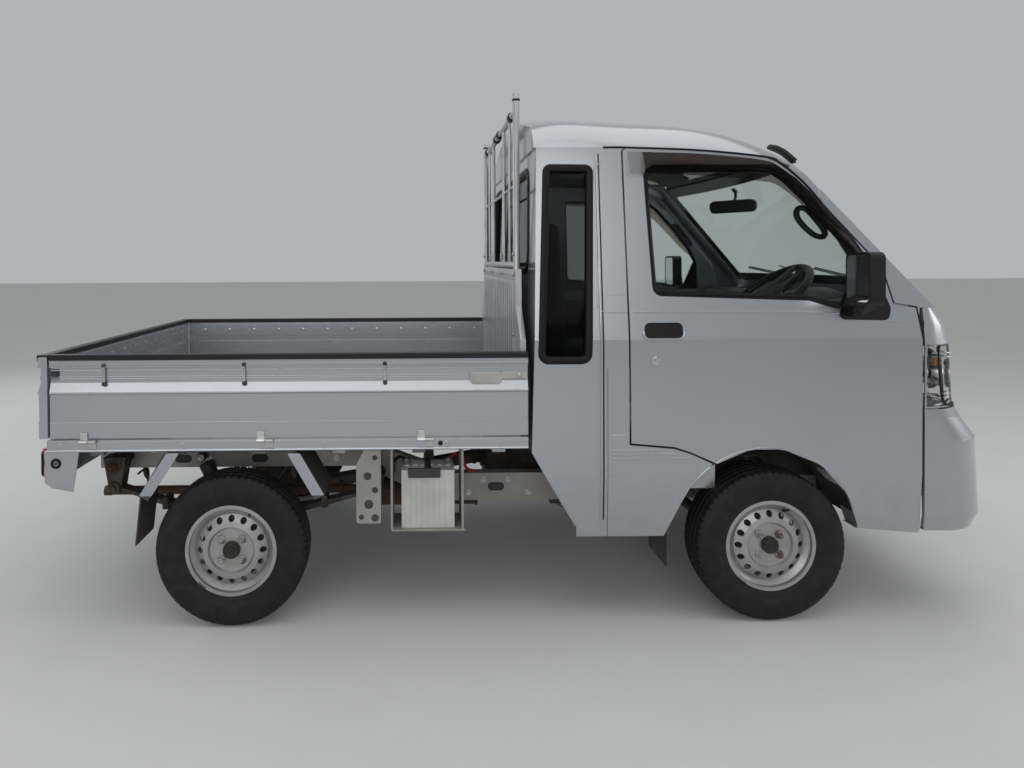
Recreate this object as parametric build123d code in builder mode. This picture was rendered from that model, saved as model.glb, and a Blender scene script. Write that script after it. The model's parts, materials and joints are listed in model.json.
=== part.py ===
"""A cab-over kei truck with a drop-side load bed, in millimetres.

+X points forward, +Y to the truck's left and +Z up. The origin is on the ground under the
middle of the whole truck. The driver sits on the right, at -Y.
"""

from build123d import *
from math import cos, radians, sin
import os

os.makedirs("parts", exist_ok=True)

# Overall size
overall_length = 3395.0
body_half_width = 737.5
front_end = overall_length / 2
rear_end = -overall_length / 2

# Wheels and axles
wheelbase = 1900.0
front_axle_x = 866.0
rear_axle_x = front_axle_x - wheelbase
tyre_radius = 266.0
tyre_width = 145.0
front_track = 1305.0
rear_track = 1300.0
bead_seat_radius = 152.4
rim_flange_radius = 166.5
rim_half_width = 58.0
rim_wall = 5.0
wheel_offset = 40.0
stud_circle = 100.0
stud_hole = 12.5
vent_count = 16
hub_bore_radius = 30.0
hub_z = tyre_radius

# Clearances
panel_gap = 6.0
running_gap = 0.1
seat_gap = 0.1

# Cab side section, from the sill up: height and half width
side_section = (
    (312.0, 725.0),
    (520.0, body_half_width),
    (1000.0, body_half_width),
    (1095.0, 727.0),
    (1700.0, 662.0),
)
sill_bottom = side_section[0][0]
belt_height = side_section[3][0]
door_thickness = 85.0
frame_thickness = 42.0

# Door hinges, upright at the door's front edge
door_hinge_y = body_half_width - 11.5
door_hinge_radius = 8.0
door_hinge_length = 60.0
door_hinge_heights = (560.0, 900.0)

# Cab
cab_rear_x = 17.5
cab_rear_lean = 32.5
cab_rear_top = 1751.0
ditch_x = 281.0
door_rear_x = 364.0
door_front_x = 1383.0
door_hinge_x = door_front_x - 5.0
roof_crown = 1866.0
windscreen_top_x = 973.0
windscreen_top_z = 1710.0
windscreen_run = 527.0
windscreen_fall = 570.0
windscreen_bulge = 80.0
windscreen_chord = 1300.0
glass_thickness = 5.0
roof_wall = 35.0

# Load bed
bed_front_x = 6.0
bed_rear_x = -1655.0
bed_floor_top = 665.0
bed_floor_thickness = 22.0
gate_bottom = 671.0
gate_top = 953.0
gate_thickness = 33.0
rail_bottom = 628.0
gate_hinge_outset = 8.0
gate_hinge_z = 662.0

# Chassis
rail_outer_y = 405.0
rail_width = 50.0
rail_low = 330.0
rail_height = 108.0
rail_kick = 120.0

# Kingpin line of the front struts: lower ball joint and strut top
ball_joint_y = 560.0
ball_joint_z = 190.0
strut_top_y = 515.0
strut_top_z = 636.0


def outline(plane, points):
    """A closed polygon sketch on a plane."""
    with BuildSketch(plane) as flat:
        with BuildLine():
            Polyline(*points, close=True)
        make_face()
    return flat.sketch


def export(piece, label):
    """Label a finished piece and write it."""
    piece.part.label = label
    export_step(piece.part, f"parts/{label}.step")


def side_half_width(z):
    """Half width of the cab side at a height."""
    for (low_z, low_y), (high_z, high_y) in zip(side_section, side_section[1:]):
        if z <= high_z:
            return low_y + (high_y - low_y) * (z - low_z) / (high_z - low_z)
    return side_section[-1][1]


def side_wall_points(side, low=sill_bottom, high=1700.0):
    """Section of one cab side wall: outer skin up, inner skin down, as Y and Z."""
    outer = [(low, side_half_width(low))]
    outer += [(z, y) for z, y in side_section if low < z < high]
    outer += [(high, side_half_width(high))]
    inner_low = body_half_width - door_thickness
    inner = [
        (high, side_half_width(high) - frame_thickness),
        (belt_height + 15, side_half_width(belt_height + 15) - frame_thickness),
        (belt_height - 15, inner_low),
        (low, inner_low),
    ]
    return [(side * y, z) for z, y in outer + inner]


# Side outlines, as X and Z, shared by the doors and the openings round them
door_outline = [
    (door_rear_x, 640),
    (door_rear_x - 8, 1664),
    (door_rear_x + 4, 1676),
    (634, 1665),
    (864, 1641),
    (918, 1618),
    (996, 1550),
    (1085, 1440),
    (1198, 1311),
    (1254, 1250),
    (1288, 1118),
    (door_front_x - 16, 1105),
    (door_front_x, 990),
    (door_front_x, 322),
    (door_front_x - 8, 314),
    (1156, 334),
]
arch_centre = (836.5, 288.0)
arch_radius = 332.0
door_window = [
    (434, 1600),
    (454, 1160),
    (994, 1141),
    (1090, 1112),
    (1186, 1118),
    (1176, 1262),
    (1130, 1345),
    (1040, 1455),
    (945, 1555),
    (885, 1598),
]
gutter_line = [(0, 1680), (368, 1678), (634, 1667), (864, 1643), (918, 1620), (996, 1552), (1058, 1475)]


def arch_point(angle):
    """A point on the front wheel arch's circle."""
    return (
        arch_centre[0] + arch_radius * cos(radians(angle)),
        arch_centre[1] + arch_radius * sin(radians(angle)),
    )


# Wheels: tyre and pressed steel rim, the same at all four corners
wheel_table = (
    # name, axle X, side, track
    ("front_left", front_axle_x, 1, front_track),
    ("front_right", front_axle_x, -1, front_track),
    ("rear_left", rear_axle_x, 1, rear_track),
    ("rear_right", rear_axle_x, -1, rear_track),
)

for corner, axle_x, side, track in wheel_table:
    wheel_y = side * track / 2
    wheel_plane = Plane(
        origin=(axle_x, wheel_y, hub_z), x_dir=(0, side, 0), z_dir=(side, 0, 0)
    )
    spin_axis = Axis((axle_x, wheel_y, hub_z), (0, 1, 0))
    half_tread = tyre_width / 2 - 15
    widest = tyre_width / 2
    casing = 9.0

    with BuildPart() as tyre:
        with BuildSketch(wheel_plane):
            with BuildLine():
                Line((half_tread, tyre_radius - 3), (-half_tread, tyre_radius - 3))
                ThreePointArc(
                    (-half_tread, tyre_radius - 3),
                    (-widest, tyre_radius - 50),
                    (-rim_half_width + 4, rim_flange_radius + 2),
                )
                Line(
                    (-rim_half_width + 4, rim_flange_radius + 2),
                    (-rim_half_width + 4, bead_seat_radius + seat_gap),
                )
                Line(
                    (-rim_half_width + 4, bead_seat_radius + seat_gap),
                    (-rim_half_width + 18, bead_seat_radius + seat_gap),
                )
                Line(
                    (-rim_half_width + 18, bead_seat_radius + seat_gap),
                    (-widest + casing, tyre_radius - 50),
                )
                Line(
                    (-widest + casing, tyre_radius - 50),
                    (-half_tread, tyre_radius - 3 - casing),
                )
                Line(
                    (-half_tread, tyre_radius - 3 - casing),
                    (half_tread, tyre_radius - 3 - casing),
                )
                Line(
                    (half_tread, tyre_radius - 3 - casing),
                    (widest - casing, tyre_radius - 50),
                )
                Line(
                    (widest - casing, tyre_radius - 50),
                    (rim_half_width - 18, bead_seat_radius + seat_gap),
                )
                Line(
                    (rim_half_width - 18, bead_seat_radius + seat_gap),
                    (rim_half_width - 4, bead_seat_radius + seat_gap),
                )
                Line(
                    (rim_half_width - 4, bead_seat_radius + seat_gap),
                    (rim_half_width - 4, rim_flange_radius + 2),
                )
                ThreePointArc(
                    (rim_half_width - 4, rim_flange_radius + 2),
                    (widest, tyre_radius - 50),
                    (half_tread, tyre_radius - 3),
                )
            make_face()
        revolve(axis=spin_axis)
        # The tread's crown, a shallow band round the casing
        with BuildSketch(wheel_plane):
            with BuildLine():
                Polyline(
                    (half_tread, tyre_radius - 4),
                    (half_tread - 8, tyre_radius),
                    (-half_tread + 8, tyre_radius),
                    (-half_tread, tyre_radius - 4),
                    close=True,
                )
            make_face()
        revolve(axis=spin_axis)
    export(tyre, f"tyre_{corner}")

    with BuildPart() as rim:
        with BuildSketch(wheel_plane):
            with BuildLine():
                Polyline(
                    (rim_half_width, rim_flange_radius),
                    (rim_half_width - 4 + seat_gap, rim_flange_radius),
                    (rim_half_width - 4 + seat_gap, bead_seat_radius),
                    (rim_half_width - 20, bead_seat_radius),
                    (rim_half_width - 30, bead_seat_radius - 16),
                    (-rim_half_width + 36, bead_seat_radius - 16),
                    (-rim_half_width + 20, bead_seat_radius),
                    (-rim_half_width + 4 - seat_gap, bead_seat_radius),
                    (-rim_half_width + 4 - seat_gap, rim_flange_radius),
                    (-rim_half_width, rim_flange_radius),
                    (-rim_half_width, bead_seat_radius - rim_wall),
                    (-rim_half_width + 20, bead_seat_radius - rim_wall),
                    (-rim_half_width + 36, bead_seat_radius - 16 - rim_wall),
                    (rim_half_width - 40, bead_seat_radius - 16 - rim_wall),
                    # The disc: dished out from the well, a slanted vent ring, then the hub face
                    (rim_half_width - 26, 118),
                    (rim_half_width - 12, 98),
                    (rim_half_width - 9, 82),
                    (rim_half_width - 18, 72),
                    (wheel_offset, 66),
                    (wheel_offset, hub_bore_radius),
                    (wheel_offset + rim_wall, hub_bore_radius),
                    (wheel_offset + rim_wall, 64),
                    (rim_half_width - 12, 76),
                    (rim_half_width - 3, 82),
                    (rim_half_width - 6, 100),
                    (rim_half_width - 20, 124),
                    (rim_half_width - 30, bead_seat_radius - 18 - rim_wall),
                    (rim_half_width - 16, bead_seat_radius - rim_wall),
                    (rim_half_width, bead_seat_radius - rim_wall),
                    close=True,
                )
            make_face()
        revolve(axis=spin_axis)
        face_plane = Plane(
            origin=(axle_x, wheel_y, hub_z), x_dir=(1, 0, 0), z_dir=(0, side, 0)
        )
        with BuildSketch(face_plane):
            with PolarLocations(110, vent_count):
                Circle(11)
            with PolarLocations(stud_circle / 2, 4, start_angle=45):
                Circle(stud_hole / 2)
        extrude(amount=rim_half_width + 10, mode=Mode.SUBTRACT)
    export(rim, f"rim_{corner}")


# Front knuckles: hub carrier, drum, stub axle and the strut's lower tube
for corner, axle_x, side, track in wheel_table[:2]:
    hub_face_y = side * (track / 2 + wheel_offset)
    kingpin = Plane(
        origin=(axle_x, side * ball_joint_y, ball_joint_z),
        x_dir=(1, 0, 0),
        z_dir=(0, side * (strut_top_y - ball_joint_y), strut_top_z - ball_joint_z),
    )
    hub_plane = Plane(
        origin=(axle_x, hub_face_y, hub_z), x_dir=(1, 0, 0), z_dir=(0, -side, 0)
    )
    with BuildPart() as knuckle:
        with BuildSketch(hub_plane.offset(running_gap)):
            Circle(62)
        extrude(amount=14)
        with BuildSketch(hub_plane.offset(running_gap + 14)):
            Circle(108)
        extrude(amount=42)
        with BuildSketch(hub_plane.offset(running_gap + 56)):
            Circle(34)
        extrude(amount=80)
        with BuildSketch(hub_plane.offset(running_gap)):
            Circle(hub_bore_radius - 1)
        extrude(amount=-(rim_wall + 12))
        with BuildSketch(kingpin.offset(-6)):
            Circle(20)
        extrude(amount=130)
        with BuildSketch(kingpin.offset(124)):
            Circle(25)
        extrude(amount=200)
    export(knuckle, f"knuckle_{'left' if side > 0 else 'right'}")

# Cross member, lower arms, strut rods and springs of the front suspension
with BuildPart() as front_suspension:
    with BuildSketch(Plane.XZ.offset(-(rail_outer_y - rail_width))):
        with BuildLine():
            Polyline((front_axle_x - 45, 268), (front_axle_x + 45, 268), (front_axle_x + 45, 328),
                     (front_axle_x - 45, 328), close=True)
        make_face()
    extrude(amount=2 * (rail_outer_y - rail_width))
    for side in (1, -1):
        arm_points = [
            (side * 300, 236),
            (side * 300, 270),
            (side * (ball_joint_y - 28), ball_joint_z - 14),
            (side * (ball_joint_y + 18), ball_joint_z - 18),
            (side * (ball_joint_y + 18), ball_joint_z - 38),
            (side * (ball_joint_y - 20), ball_joint_z - 38),
        ]
        extrude(outline(Plane.YZ.offset(front_axle_x - 22), arm_points), amount=44)
        kingpin = Plane(
            origin=(front_axle_x, side * ball_joint_y, ball_joint_z),
            x_dir=(1, 0, 0),
            z_dir=(0, side * (strut_top_y - ball_joint_y), strut_top_z - ball_joint_z),
        )
        with BuildSketch(kingpin.offset(330)):
            Circle(11)
        extrude(amount=104)
        with BuildSketch(kingpin.offset(430)):
            Circle(50)
        extrude(amount=8)
export(front_suspension, "front_suspension")

# Ladder chassis: two side rails that kick up behind the cab, and cross members
rail_high = rail_low + rail_height
with BuildPart() as chassis_frame:
    rail_points = [
        (1540, rail_low + 20),
        (1540, rail_high),
        (-240, rail_high),
        (-560, rail_high + rail_kick),
        (-1624, rail_high + rail_kick),
        (-1624, rail_low + rail_kick + 20),
        (-600, rail_low + rail_kick + 20),
        (-300, rail_low),
        (1400, rail_low),
    ]
    for side in (1, -1):
        plane = Plane.XZ.offset(-side * rail_outer_y)
        extrude(outline(plane, rail_points), amount=side * rail_width)
    cross_table = (
        # X, low Z, high Z
        (1490, rail_low + 30, rail_high - 10),
        (720, rail_low + 10, rail_high - 20),
        (-330, rail_high - 40, rail_high - 8),
        (-700, rail_high + 40, rail_high + rail_kick - 10),
        (-1400, rail_high + 40, rail_high + rail_kick - 10),
        (-1590, rail_high + 30, rail_high + rail_kick - 10),
    )
    inner = rail_outer_y - rail_width
    for x, low, high in cross_table:
        cross = [(x - 22, low), (x + 22, low), (x + 22, high), (x - 22, high)]
        extrude(outline(Plane.XZ.offset(-inner), cross), amount=2 * inner)
export(chassis_frame, "chassis_frame")

# Rear axle: tube, differential bowl, drums
with BuildPart() as rear_axle:
    span = 2 * (rear_track / 2 + wheel_offset - running_gap)
    with BuildSketch(Plane(origin=(rear_axle_x, span / 2, hub_z), x_dir=(1, 0, 0), z_dir=(0, -1, 0))):
        Circle(32)
    extrude(amount=span)
    for side in (1, -1):
        face = Plane(origin=(rear_axle_x, side * span / 2, hub_z), x_dir=(1, 0, 0), z_dir=(0, -side, 0))
        with BuildSketch(face):
            Circle(62)
        extrude(amount=14)
        with BuildSketch(face.offset(14)):
            Circle(112)
        extrude(amount=48)
        with BuildSketch(face):
            Circle(hub_bore_radius - 1)
        extrude(amount=-(rim_wall + 12))
    with BuildSketch(Plane.YZ.offset(rear_axle_x)):
        with Locations((0, hub_z)):
            Circle(45)
    extrude(amount=148)
    with BuildSketch(Plane.XZ.offset(-75)):
        with Locations((rear_axle_x, hub_z)):
            Circle(118)
    extrude(amount=150)
export(rear_axle, "rear_axle")

# Leaf springs with their hangers
spring_y = 480.0
with BuildPart() as leaf_springs:
    for side in (1, -1):
        plane = Plane.XZ.offset(-side * (spring_y + 25))
        leaf_low = hub_z + 33
        leaf_points = [
            (rear_axle_x - 490, 420),
            (rear_axle_x - 250, leaf_low + 38),
            (rear_axle_x - 60, leaf_low),
            (rear_axle_x + 60, leaf_low),
            (rear_axle_x + 250, leaf_low + 38),
            (rear_axle_x + 490, 400),
            (rear_axle_x + 490, 412),
            (rear_axle_x + 250, leaf_low + 58),
            (rear_axle_x + 60, leaf_low + 30),
            (rear_axle_x - 60, leaf_low + 30),
            (rear_axle_x - 250, leaf_low + 58),
            (rear_axle_x - 490, 432),
        ]
        extrude(outline(plane, leaf_points), amount=side * 50)
        for x, low, top in ((rear_axle_x - 490, 408, 540), (rear_axle_x + 490, 390, 470)):
            bracket = [(x - 20, low), (x + 20, low), (x + 42, top), (x - 42, top)]
            extrude(outline(Plane.XZ.offset(-side * (spring_y + 30)), bracket), amount=side * 60)
            arm = [(x - 30, top - 30), (x + 30, top - 30), (x + 30, top), (x - 30, top)]
            extrude(
                outline(Plane.XZ.offset(-side * (spring_y + 30)), arm),
                amount=side * (spring_y + 30 - rail_outer_y),
            )
export(leaf_springs, "leaf_springs")

# Engine and gearbox as one plain block, propeller shaft
with BuildPart() as engine:
    with BuildSketch(Plane.XZ.offset(-230)):
        with BuildLine():
            Polyline((180, 250), (620, 250), (640, 420), (620, 590), (260, 590), (180, 480), close=True)
        make_face()
    extrude(amount=460)
    with BuildSketch(Plane.YZ.offset(-80)):
        with Locations((0, 400)):
            RectangleRounded(230, 190, 40)
    extrude(amount=262)
export(engine, "engine")

with BuildPart() as propeller_shaft:
    shaft_start = Vector(-88, 0, 395)
    shaft_end = Vector(rear_axle_x + 154, 0, hub_z)
    run = shaft_end - shaft_start
    with BuildSketch(Plane(origin=shaft_start, x_dir=(0, 1, 0), z_dir=run)):
        Circle(30)
    extrude(amount=run.length)
export(propeller_shaft, "propeller_shaft")

with BuildPart() as exhaust:
    with BuildSketch(Plane.YZ.offset(-560)):
        with Locations((-250, 330)):
            RectangleRounded(170, 110, 50)
    extrude(amount=420)
    with BuildSketch(Plane.YZ.offset(-1660)):
        with Locations((-250, 330)):
            Circle(18)
    extrude(amount=1101)
    with BuildSketch(Plane.YZ.offset(-140)):
        with Locations((-250, 330)):
            Circle(18)
    extrude(amount=400)
export(exhaust, "exhaust")

with BuildPart() as fuel_tank:
    with BuildSketch(Plane.YZ.offset(-490)):
        with Locations((560, 440)):
            RectangleRounded(260, 230, 40)
    extrude(amount=420)
export(fuel_tank, "fuel_tank")

# Battery in its tray, on the right behind the cab
with BuildPart() as battery:
    battery_x, battery_y, battery_low = -343, -620, 332
    with BuildSketch(Plane.XY.offset(battery_low)):
        with Locations((battery_x, battery_y)):
            Rectangle(187, 127)
    extrude(amount=192)
export(battery, "battery")

with BuildPart() as battery_tray:
    with BuildSketch(Plane.XY.offset(battery_low - 6)):
        with Locations((battery_x, battery_y)):
            Rectangle(262, 160)
    extrude(amount=6)
    for x in (battery_x - 128, battery_x + 122):
        with BuildSketch(Plane.XY.offset(battery_low)):
            with Locations((x, battery_y)):
                Rectangle(8, 150)
        extrude(amount=rail_bottom - battery_low)
    with BuildSketch(Plane.XY.offset(rail_low + 4)):
        with Locations((battery_x, (battery_y + 80 - rail_outer_y) / 2)):
            Rectangle(60, -battery_y - 80 - rail_outer_y)
    extrude(amount=40)
export(battery_tray, "battery_tray")

# Load bed floor with its side rails and cross beams
with BuildPart() as bed_floor:
    with BuildSketch(Plane.XY.offset(bed_floor_top - bed_floor_thickness)):
        with Locations(((bed_front_x + bed_rear_x) / 2, 0)):
            Rectangle(bed_front_x - bed_rear_x, 2 * (body_half_width - 4))
    extrude(amount=bed_floor_thickness)
    for side in (1, -1):
        rail_section = [
            (side * (body_half_width - 3), rail_bottom),
            (side * (body_half_width - 3), bed_floor_top - 5),
            (side * (body_half_width - 40), bed_floor_top - 5),
            (side * (body_half_width - 40), rail_bottom),
        ]
        extrude(outline(Plane.YZ.offset(bed_rear_x), rail_section), amount=bed_front_x - bed_rear_x)
    beam_count = 6
    beam_pitch = (bed_front_x - bed_rear_x - 160) / (beam_count - 1)
    for index in range(beam_count):
        x = bed_rear_x + 80 + index * beam_pitch
        beam = [(x - 25, rail_high + rail_kick), (x + 25, rail_high + rail_kick),
                (x + 25, bed_floor_top - 10), (x - 25, bed_floor_top - 10)]
        extrude(outline(Plane.XZ.offset(-540), beam), amount=2 * 540)
        outrigger = [(x - 25, rail_bottom + 2), (x + 25, rail_bottom + 2), (x + 25, bed_floor_top - 10),
                     (x - 25, bed_floor_top - 10)]
        extrude(outline(Plane.XZ.offset(-(body_half_width - 30)), outrigger), amount=2 * (body_half_width - 30))
export(bed_floor, "bed_floor")

# Rear wheel guards under the bed
with BuildPart() as rear_guards:
    for side in (1, -1):
        guard = [
            (rear_axle_x - 308, 468),
            (rear_axle_x - 222, 613),
            (rear_axle_x - 200, rail_bottom - 1),
            (rear_axle_x + 222, rail_bottom - 1),
            (rear_axle_x + 248, 613),
            (rear_axle_x + 332, 466),
            (rear_axle_x + 326, 462),
            (rear_axle_x + 242, 608),
            (rear_axle_x + 218, rail_bottom - 7),
            (rear_axle_x - 196, rail_bottom - 7),
            (rear_axle_x - 216, 608),
            (rear_axle_x - 302, 464),
        ]
        extrude(outline(Plane.XZ.offset(-side * (body_half_width - 2)), guard), amount=side * 190)
        for x, low in ((rear_axle_x - 330, 290),):
            flap = [(x, low), (x + 4, low), (x + 26, 470), (x + 20, 470)]
            extrude(outline(Plane.XZ.offset(-side * (body_half_width - 20)), flap), amount=side * 160)
export(rear_guards, "rear_guards")

# Headboard: two posts, bars between them and the ribbed lower panel
board_x = 12.0 - 18.0
post_radius = 12.5
post_y = 545.0
with BuildPart() as headboard:
    for side in (1, -1):
        with BuildSketch(Plane.XY.offset(bed_floor_top)):
            with Locations((board_x, side * post_y)):
                Circle(post_radius)
        extrude(amount=1899 - bed_floor_top)
    for z in (1260, 1835):
        with BuildSketch(Plane.XZ.offset(-post_y)):
            with Locations((board_x, z)):
                Circle(post_radius)
        extrude(amount=2 * post_y)
    for y in (-190, 190):
        with BuildSketch(Plane.XY.offset(1260)):
            with Locations((board_x, y)):
                Circle(8)
        extrude(amount=575)
    panel = [(-698, bed_floor_top), (698, bed_floor_top), (698, 1000), (600, 1110), (600, 1245), (-600, 1245),
             (-600, 1110), (-698, 1000)]
    extrude(outline(Plane.YZ.offset(board_x - 10), panel), amount=20)
export(headboard, "headboard")


# Drop sides and tailgate: one pressed section, as depth in from the outer face and height
gate_section = (
    (0.0, gate_top - 6),
    (3.0, gate_top),
    (gate_thickness, gate_top),
    (gate_thickness, gate_bottom),
    (3.0, gate_bottom),
    (3.0, 724.0),
    (5.0, 728.0),
    (3.0, 826.0),
    (0.0, 833.0),
    (0.0, 864.0),
    (12.0, 868.0),
    (12.0, 916.0),
    (2.0, 920.0),
    (2.0, 935.0),
    (0.0, 937.0),
)
gate_hinges = (-1510.0, -903.0, -350.0)
hinge_radius = 6.0
hinge_y = body_half_width + gate_hinge_outset

for side, label in ((1, "left"), (-1, "right")):
    with BuildPart() as gate:
        section = [(side * (body_half_width - depth), z) for depth, z in gate_section]
        extrude(outline(Plane.YZ.offset(bed_rear_x + 11), section), amount=bed_front_x - bed_rear_x - 11)
        for x in gate_hinges:
            strap = [(side * (body_half_width - 5), gate_bottom + 2), (side * (body_half_width - 1), gate_bottom - 2),
                     (side * (hinge_y - 3), gate_hinge_z - 4), (side * (hinge_y + 5), gate_hinge_z),
                     (side * (body_half_width + 1), 700), (side * (body_half_width - 5), 700)]
            extrude(outline(Plane.YZ.offset(x - 30), strap), amount=60)
            with BuildSketch(Plane.YZ.offset(x - 30)):
                with Locations((side * hinge_y, gate_hinge_z)):
                    Circle(hinge_radius)
            extrude(amount=60)
    export(gate, f"gate_{label}")

tailgate_x = rear_end + gate_hinge_outset + hinge_radius
with BuildPart() as tailgate:
    section = [(tailgate_x + depth, z) for depth, z in gate_section]
    extrude(outline(Plane.XZ.offset(-(body_half_width - 1)), section), amount=2 * (body_half_width - 1))
    for y in (-560, 0, 560):
        strap = [(tailgate_x + 5, gate_bottom + 2), (tailgate_x + 1, gate_bottom - 2),
                 (tailgate_x - gate_hinge_outset + 3, gate_hinge_z - 4), (rear_end + 1, gate_hinge_z),
                 (tailgate_x - 1, 700), (tailgate_x + 5, 700)]
        extrude(outline(Plane.XZ.offset(-(y + 30)), strap), amount=60)
        with BuildSketch(Plane.XZ.offset(-(y + 30))):
            with Locations((tailgate_x - gate_hinge_outset, gate_hinge_z)):
                Circle(hinge_radius)
        extrude(amount=60)
export(tailgate, "tailgate")

# Rear cross member under the bed, with the lamp brackets
with BuildPart() as rear_bumper:
    corner_x = bed_rear_x - 10
    beam = [(corner_x, 520), (corner_x + 40, 520), (corner_x + 40, 627), (corner_x, 627)]
    extrude(outline(Plane.XZ.offset(-(body_half_width - 4)), beam), amount=2 * (body_half_width - 4))
    for side in (1, -1):
        plate = [(corner_x, 627), (corner_x + 120, 627), (corner_x + 98, 486), (corner_x + 26, 500), (corner_x, 520)]
        extrude(outline(Plane.XZ.offset(-side * (body_half_width - 4)), plate), amount=side * 4)
export(rear_bumper, "rear_bumper")

with BuildPart() as tail_lamps:
    for side in (1, -1):
        with BuildSketch(Plane.YZ.offset(corner_x)):
            with Locations((side * 610, 580)):
                RectangleRounded(200, 100, 8)
        extrude(amount=-18)
export(tail_lamps, "tail_lamps")


# Cab floor: footwell floor, toe board, tunnel over the engine, wheel housings and sills
with BuildPart() as cab_floor:
    inner_wall = body_half_width - door_thickness - 4
    # Seat box over the engine
    box_side = [(100, 600), (100, 780), (640, 780), (700, 648), (700, 640), (685, 640), (630, 768), (112, 768),
                (112, 600)]
    extrude(outline(Plane.XZ.offset(-inner_wall), box_side), amount=2 * inner_wall)
    box_front = [(688, 474), (700, 474), (700, 650), (686, 650)]
    extrude(outline(Plane.XZ.offset(-415), box_front), amount=830)
    # Footwell floor between the wheel housings and the toe board
    floor_side = [(688, 480), (1230, 480), (1340, 620), (1340, 1072), (1352, 1072), (1352, 612), (1238, 468),
                  (688, 468)]
    extrude(outline(Plane.XZ.offset(-415), floor_side), amount=830)
    for side in (1, -1):
        housing = [(500, 468), (560, 560), (690, 640), (1000, 640), (1150, 560), (1205, 430), (1205, 340),
                   (1217, 340), (1217, 457), (1158, 570), (1006, 652), (684, 652), (552, 570), (488, 468)]
        extrude(outline(Plane.XZ.offset(-side * inner_wall), housing), amount=side * (inner_wall - 407))
        wheel_side = [(500, 468), (560, 560), (690, 640), (1000, 640), (1150, 560), (1205, 430), (1205, 420),
                      (500, 440)]
        extrude(outline(Plane.XZ.offset(-side * 415), wheel_side), amount=side * 8)
        front_pan = [(1217, 445), (1352, 445), (1352, 640), (1340, 640), (1340, 457), (1217, 457)]
        extrude(outline(Plane.XZ.offset(-side * inner_wall), front_pan), amount=side * (inner_wall - 407))
        bulkhead = [(1340, 600), (1352, 600), (1352, 1072), (1340, 1072)]
        extrude(outline(Plane.XZ.offset(-side * inner_wall), bulkhead), amount=side * (inner_wall - 407))
export(cab_floor, "cab_floor")


def roof_section(x, crown, gutter, inset):
    """Closed section of the roof at one station, on a plane across the cab."""
    edge_y = side_half_width(gutter) - 6 - inset
    shoulder_y = 520 - inset
    shoulder_z = crown - 78 - inset
    low = gutter - 90
    with BuildSketch(Plane.YZ.offset(x)) as section:
        with BuildLine():
            Line((-edge_y - 4, low), (-edge_y, gutter))
            ThreePointArc(
                (-edge_y, gutter),
                (-(edge_y + shoulder_y) / 2 - 24, (gutter + shoulder_z) / 2 + 14),
                (-shoulder_y, shoulder_z),
            )
            ThreePointArc((-shoulder_y, shoulder_z), (0, crown - inset), (shoulder_y, shoulder_z))
            ThreePointArc(
                (shoulder_y, shoulder_z),
                ((edge_y + shoulder_y) / 2 + 24, (gutter + shoulder_z) / 2 + 14),
                (edge_y, gutter),
            )
            Line((edge_y, gutter), (edge_y + 4, low))
            Line((edge_y + 4, low), (-edge_y - 4, low))
        make_face()
    return section.sketch


roof_stations = (
    # X, crown height, gutter height
    (40.0, 1858.0, 1680.0),
    (360.0, 1866.0, 1678.0),
    (640.0, 1848.0, 1666.0),
    (820.0, 1802.0, 1646.0),
    (930.0, 1752.0, 1612.0),
    (1060.0, 1690.0, 1560.0),
)


def windscreen_region(inset):
    """The space behind the windscreen's surface, set back by an inset."""
    top_z = 1950.0
    top_x = windscreen_top_x - (top_z - windscreen_top_z) * windscreen_run / windscreen_fall - inset
    half = windscreen_chord / 2 + 200
    edge_x = top_x - windscreen_bulge * (half / (windscreen_chord / 2)) ** 2
    with BuildSketch(Plane.XY.offset(top_z)) as region:
        with BuildLine():
            ThreePointArc((edge_x, -half), (top_x, 0), (edge_x, half))
            Polyline((edge_x, half), (-900, half), (-900, -half), (edge_x, -half))
        make_face()
    length = (windscreen_run**2 + windscreen_fall**2) ** 0.5
    drop = top_z - 900.0
    with BuildPart() as space:
        extrude(
            region.sketch,
            amount=drop * length / windscreen_fall,
            dir=(windscreen_run / length, 0, -windscreen_fall / length),
        )
    return space.part


# Windscreen opening seen from the front, as Y and Z
screen_opening = [(-612, 1168), (612, 1168), (548, 1672), (-548, 1672)]
screen_frame_depth = 34.0

gutter_top = gutter_line + [(1058, 2000), (0, 2000)]
screen_front = windscreen_region(0)

with BuildPart() as roof:
    for x, crown, gutter in roof_stations:
        add(roof_section(x, crown, gutter, 0))
    loft()
    extrude(outline(Plane.XZ, gutter_top), amount=900, both=True, mode=Mode.INTERSECT)
    add(screen_front, mode=Mode.INTERSECT)
roof_outer = roof.part

with BuildPart() as roof_inner:
    for x, crown, gutter in roof_stations:
        add(roof_section(x + (30 if x < 100 else 0), crown, gutter, roof_wall))
    loft()
    add(windscreen_region(30), mode=Mode.INTERSECT)

with BuildPart() as roof:
    add(roof_outer)
    add(roof_inner.part, mode=Mode.SUBTRACT)
    extrude(outline(Plane.YZ.offset(700), screen_opening), amount=1000, mode=Mode.SUBTRACT)
export(roof, "roof")


def cab_shell(low_x, high_x):
    """Side walls of the cab between two stations, up to the gutter."""
    with BuildPart() as walls:
        for side in (1, -1):
            extrude(outline(Plane.YZ.offset(low_x), side_wall_points(side)), amount=high_x - low_x)
        above = [(-50, 2000), (-50, 1680)] + gutter_line[1:] + [(1058, 2000)]
        extrude(outline(Plane.XZ, above), amount=900, both=True, mode=Mode.SUBTRACT)
    return walls.part


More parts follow.
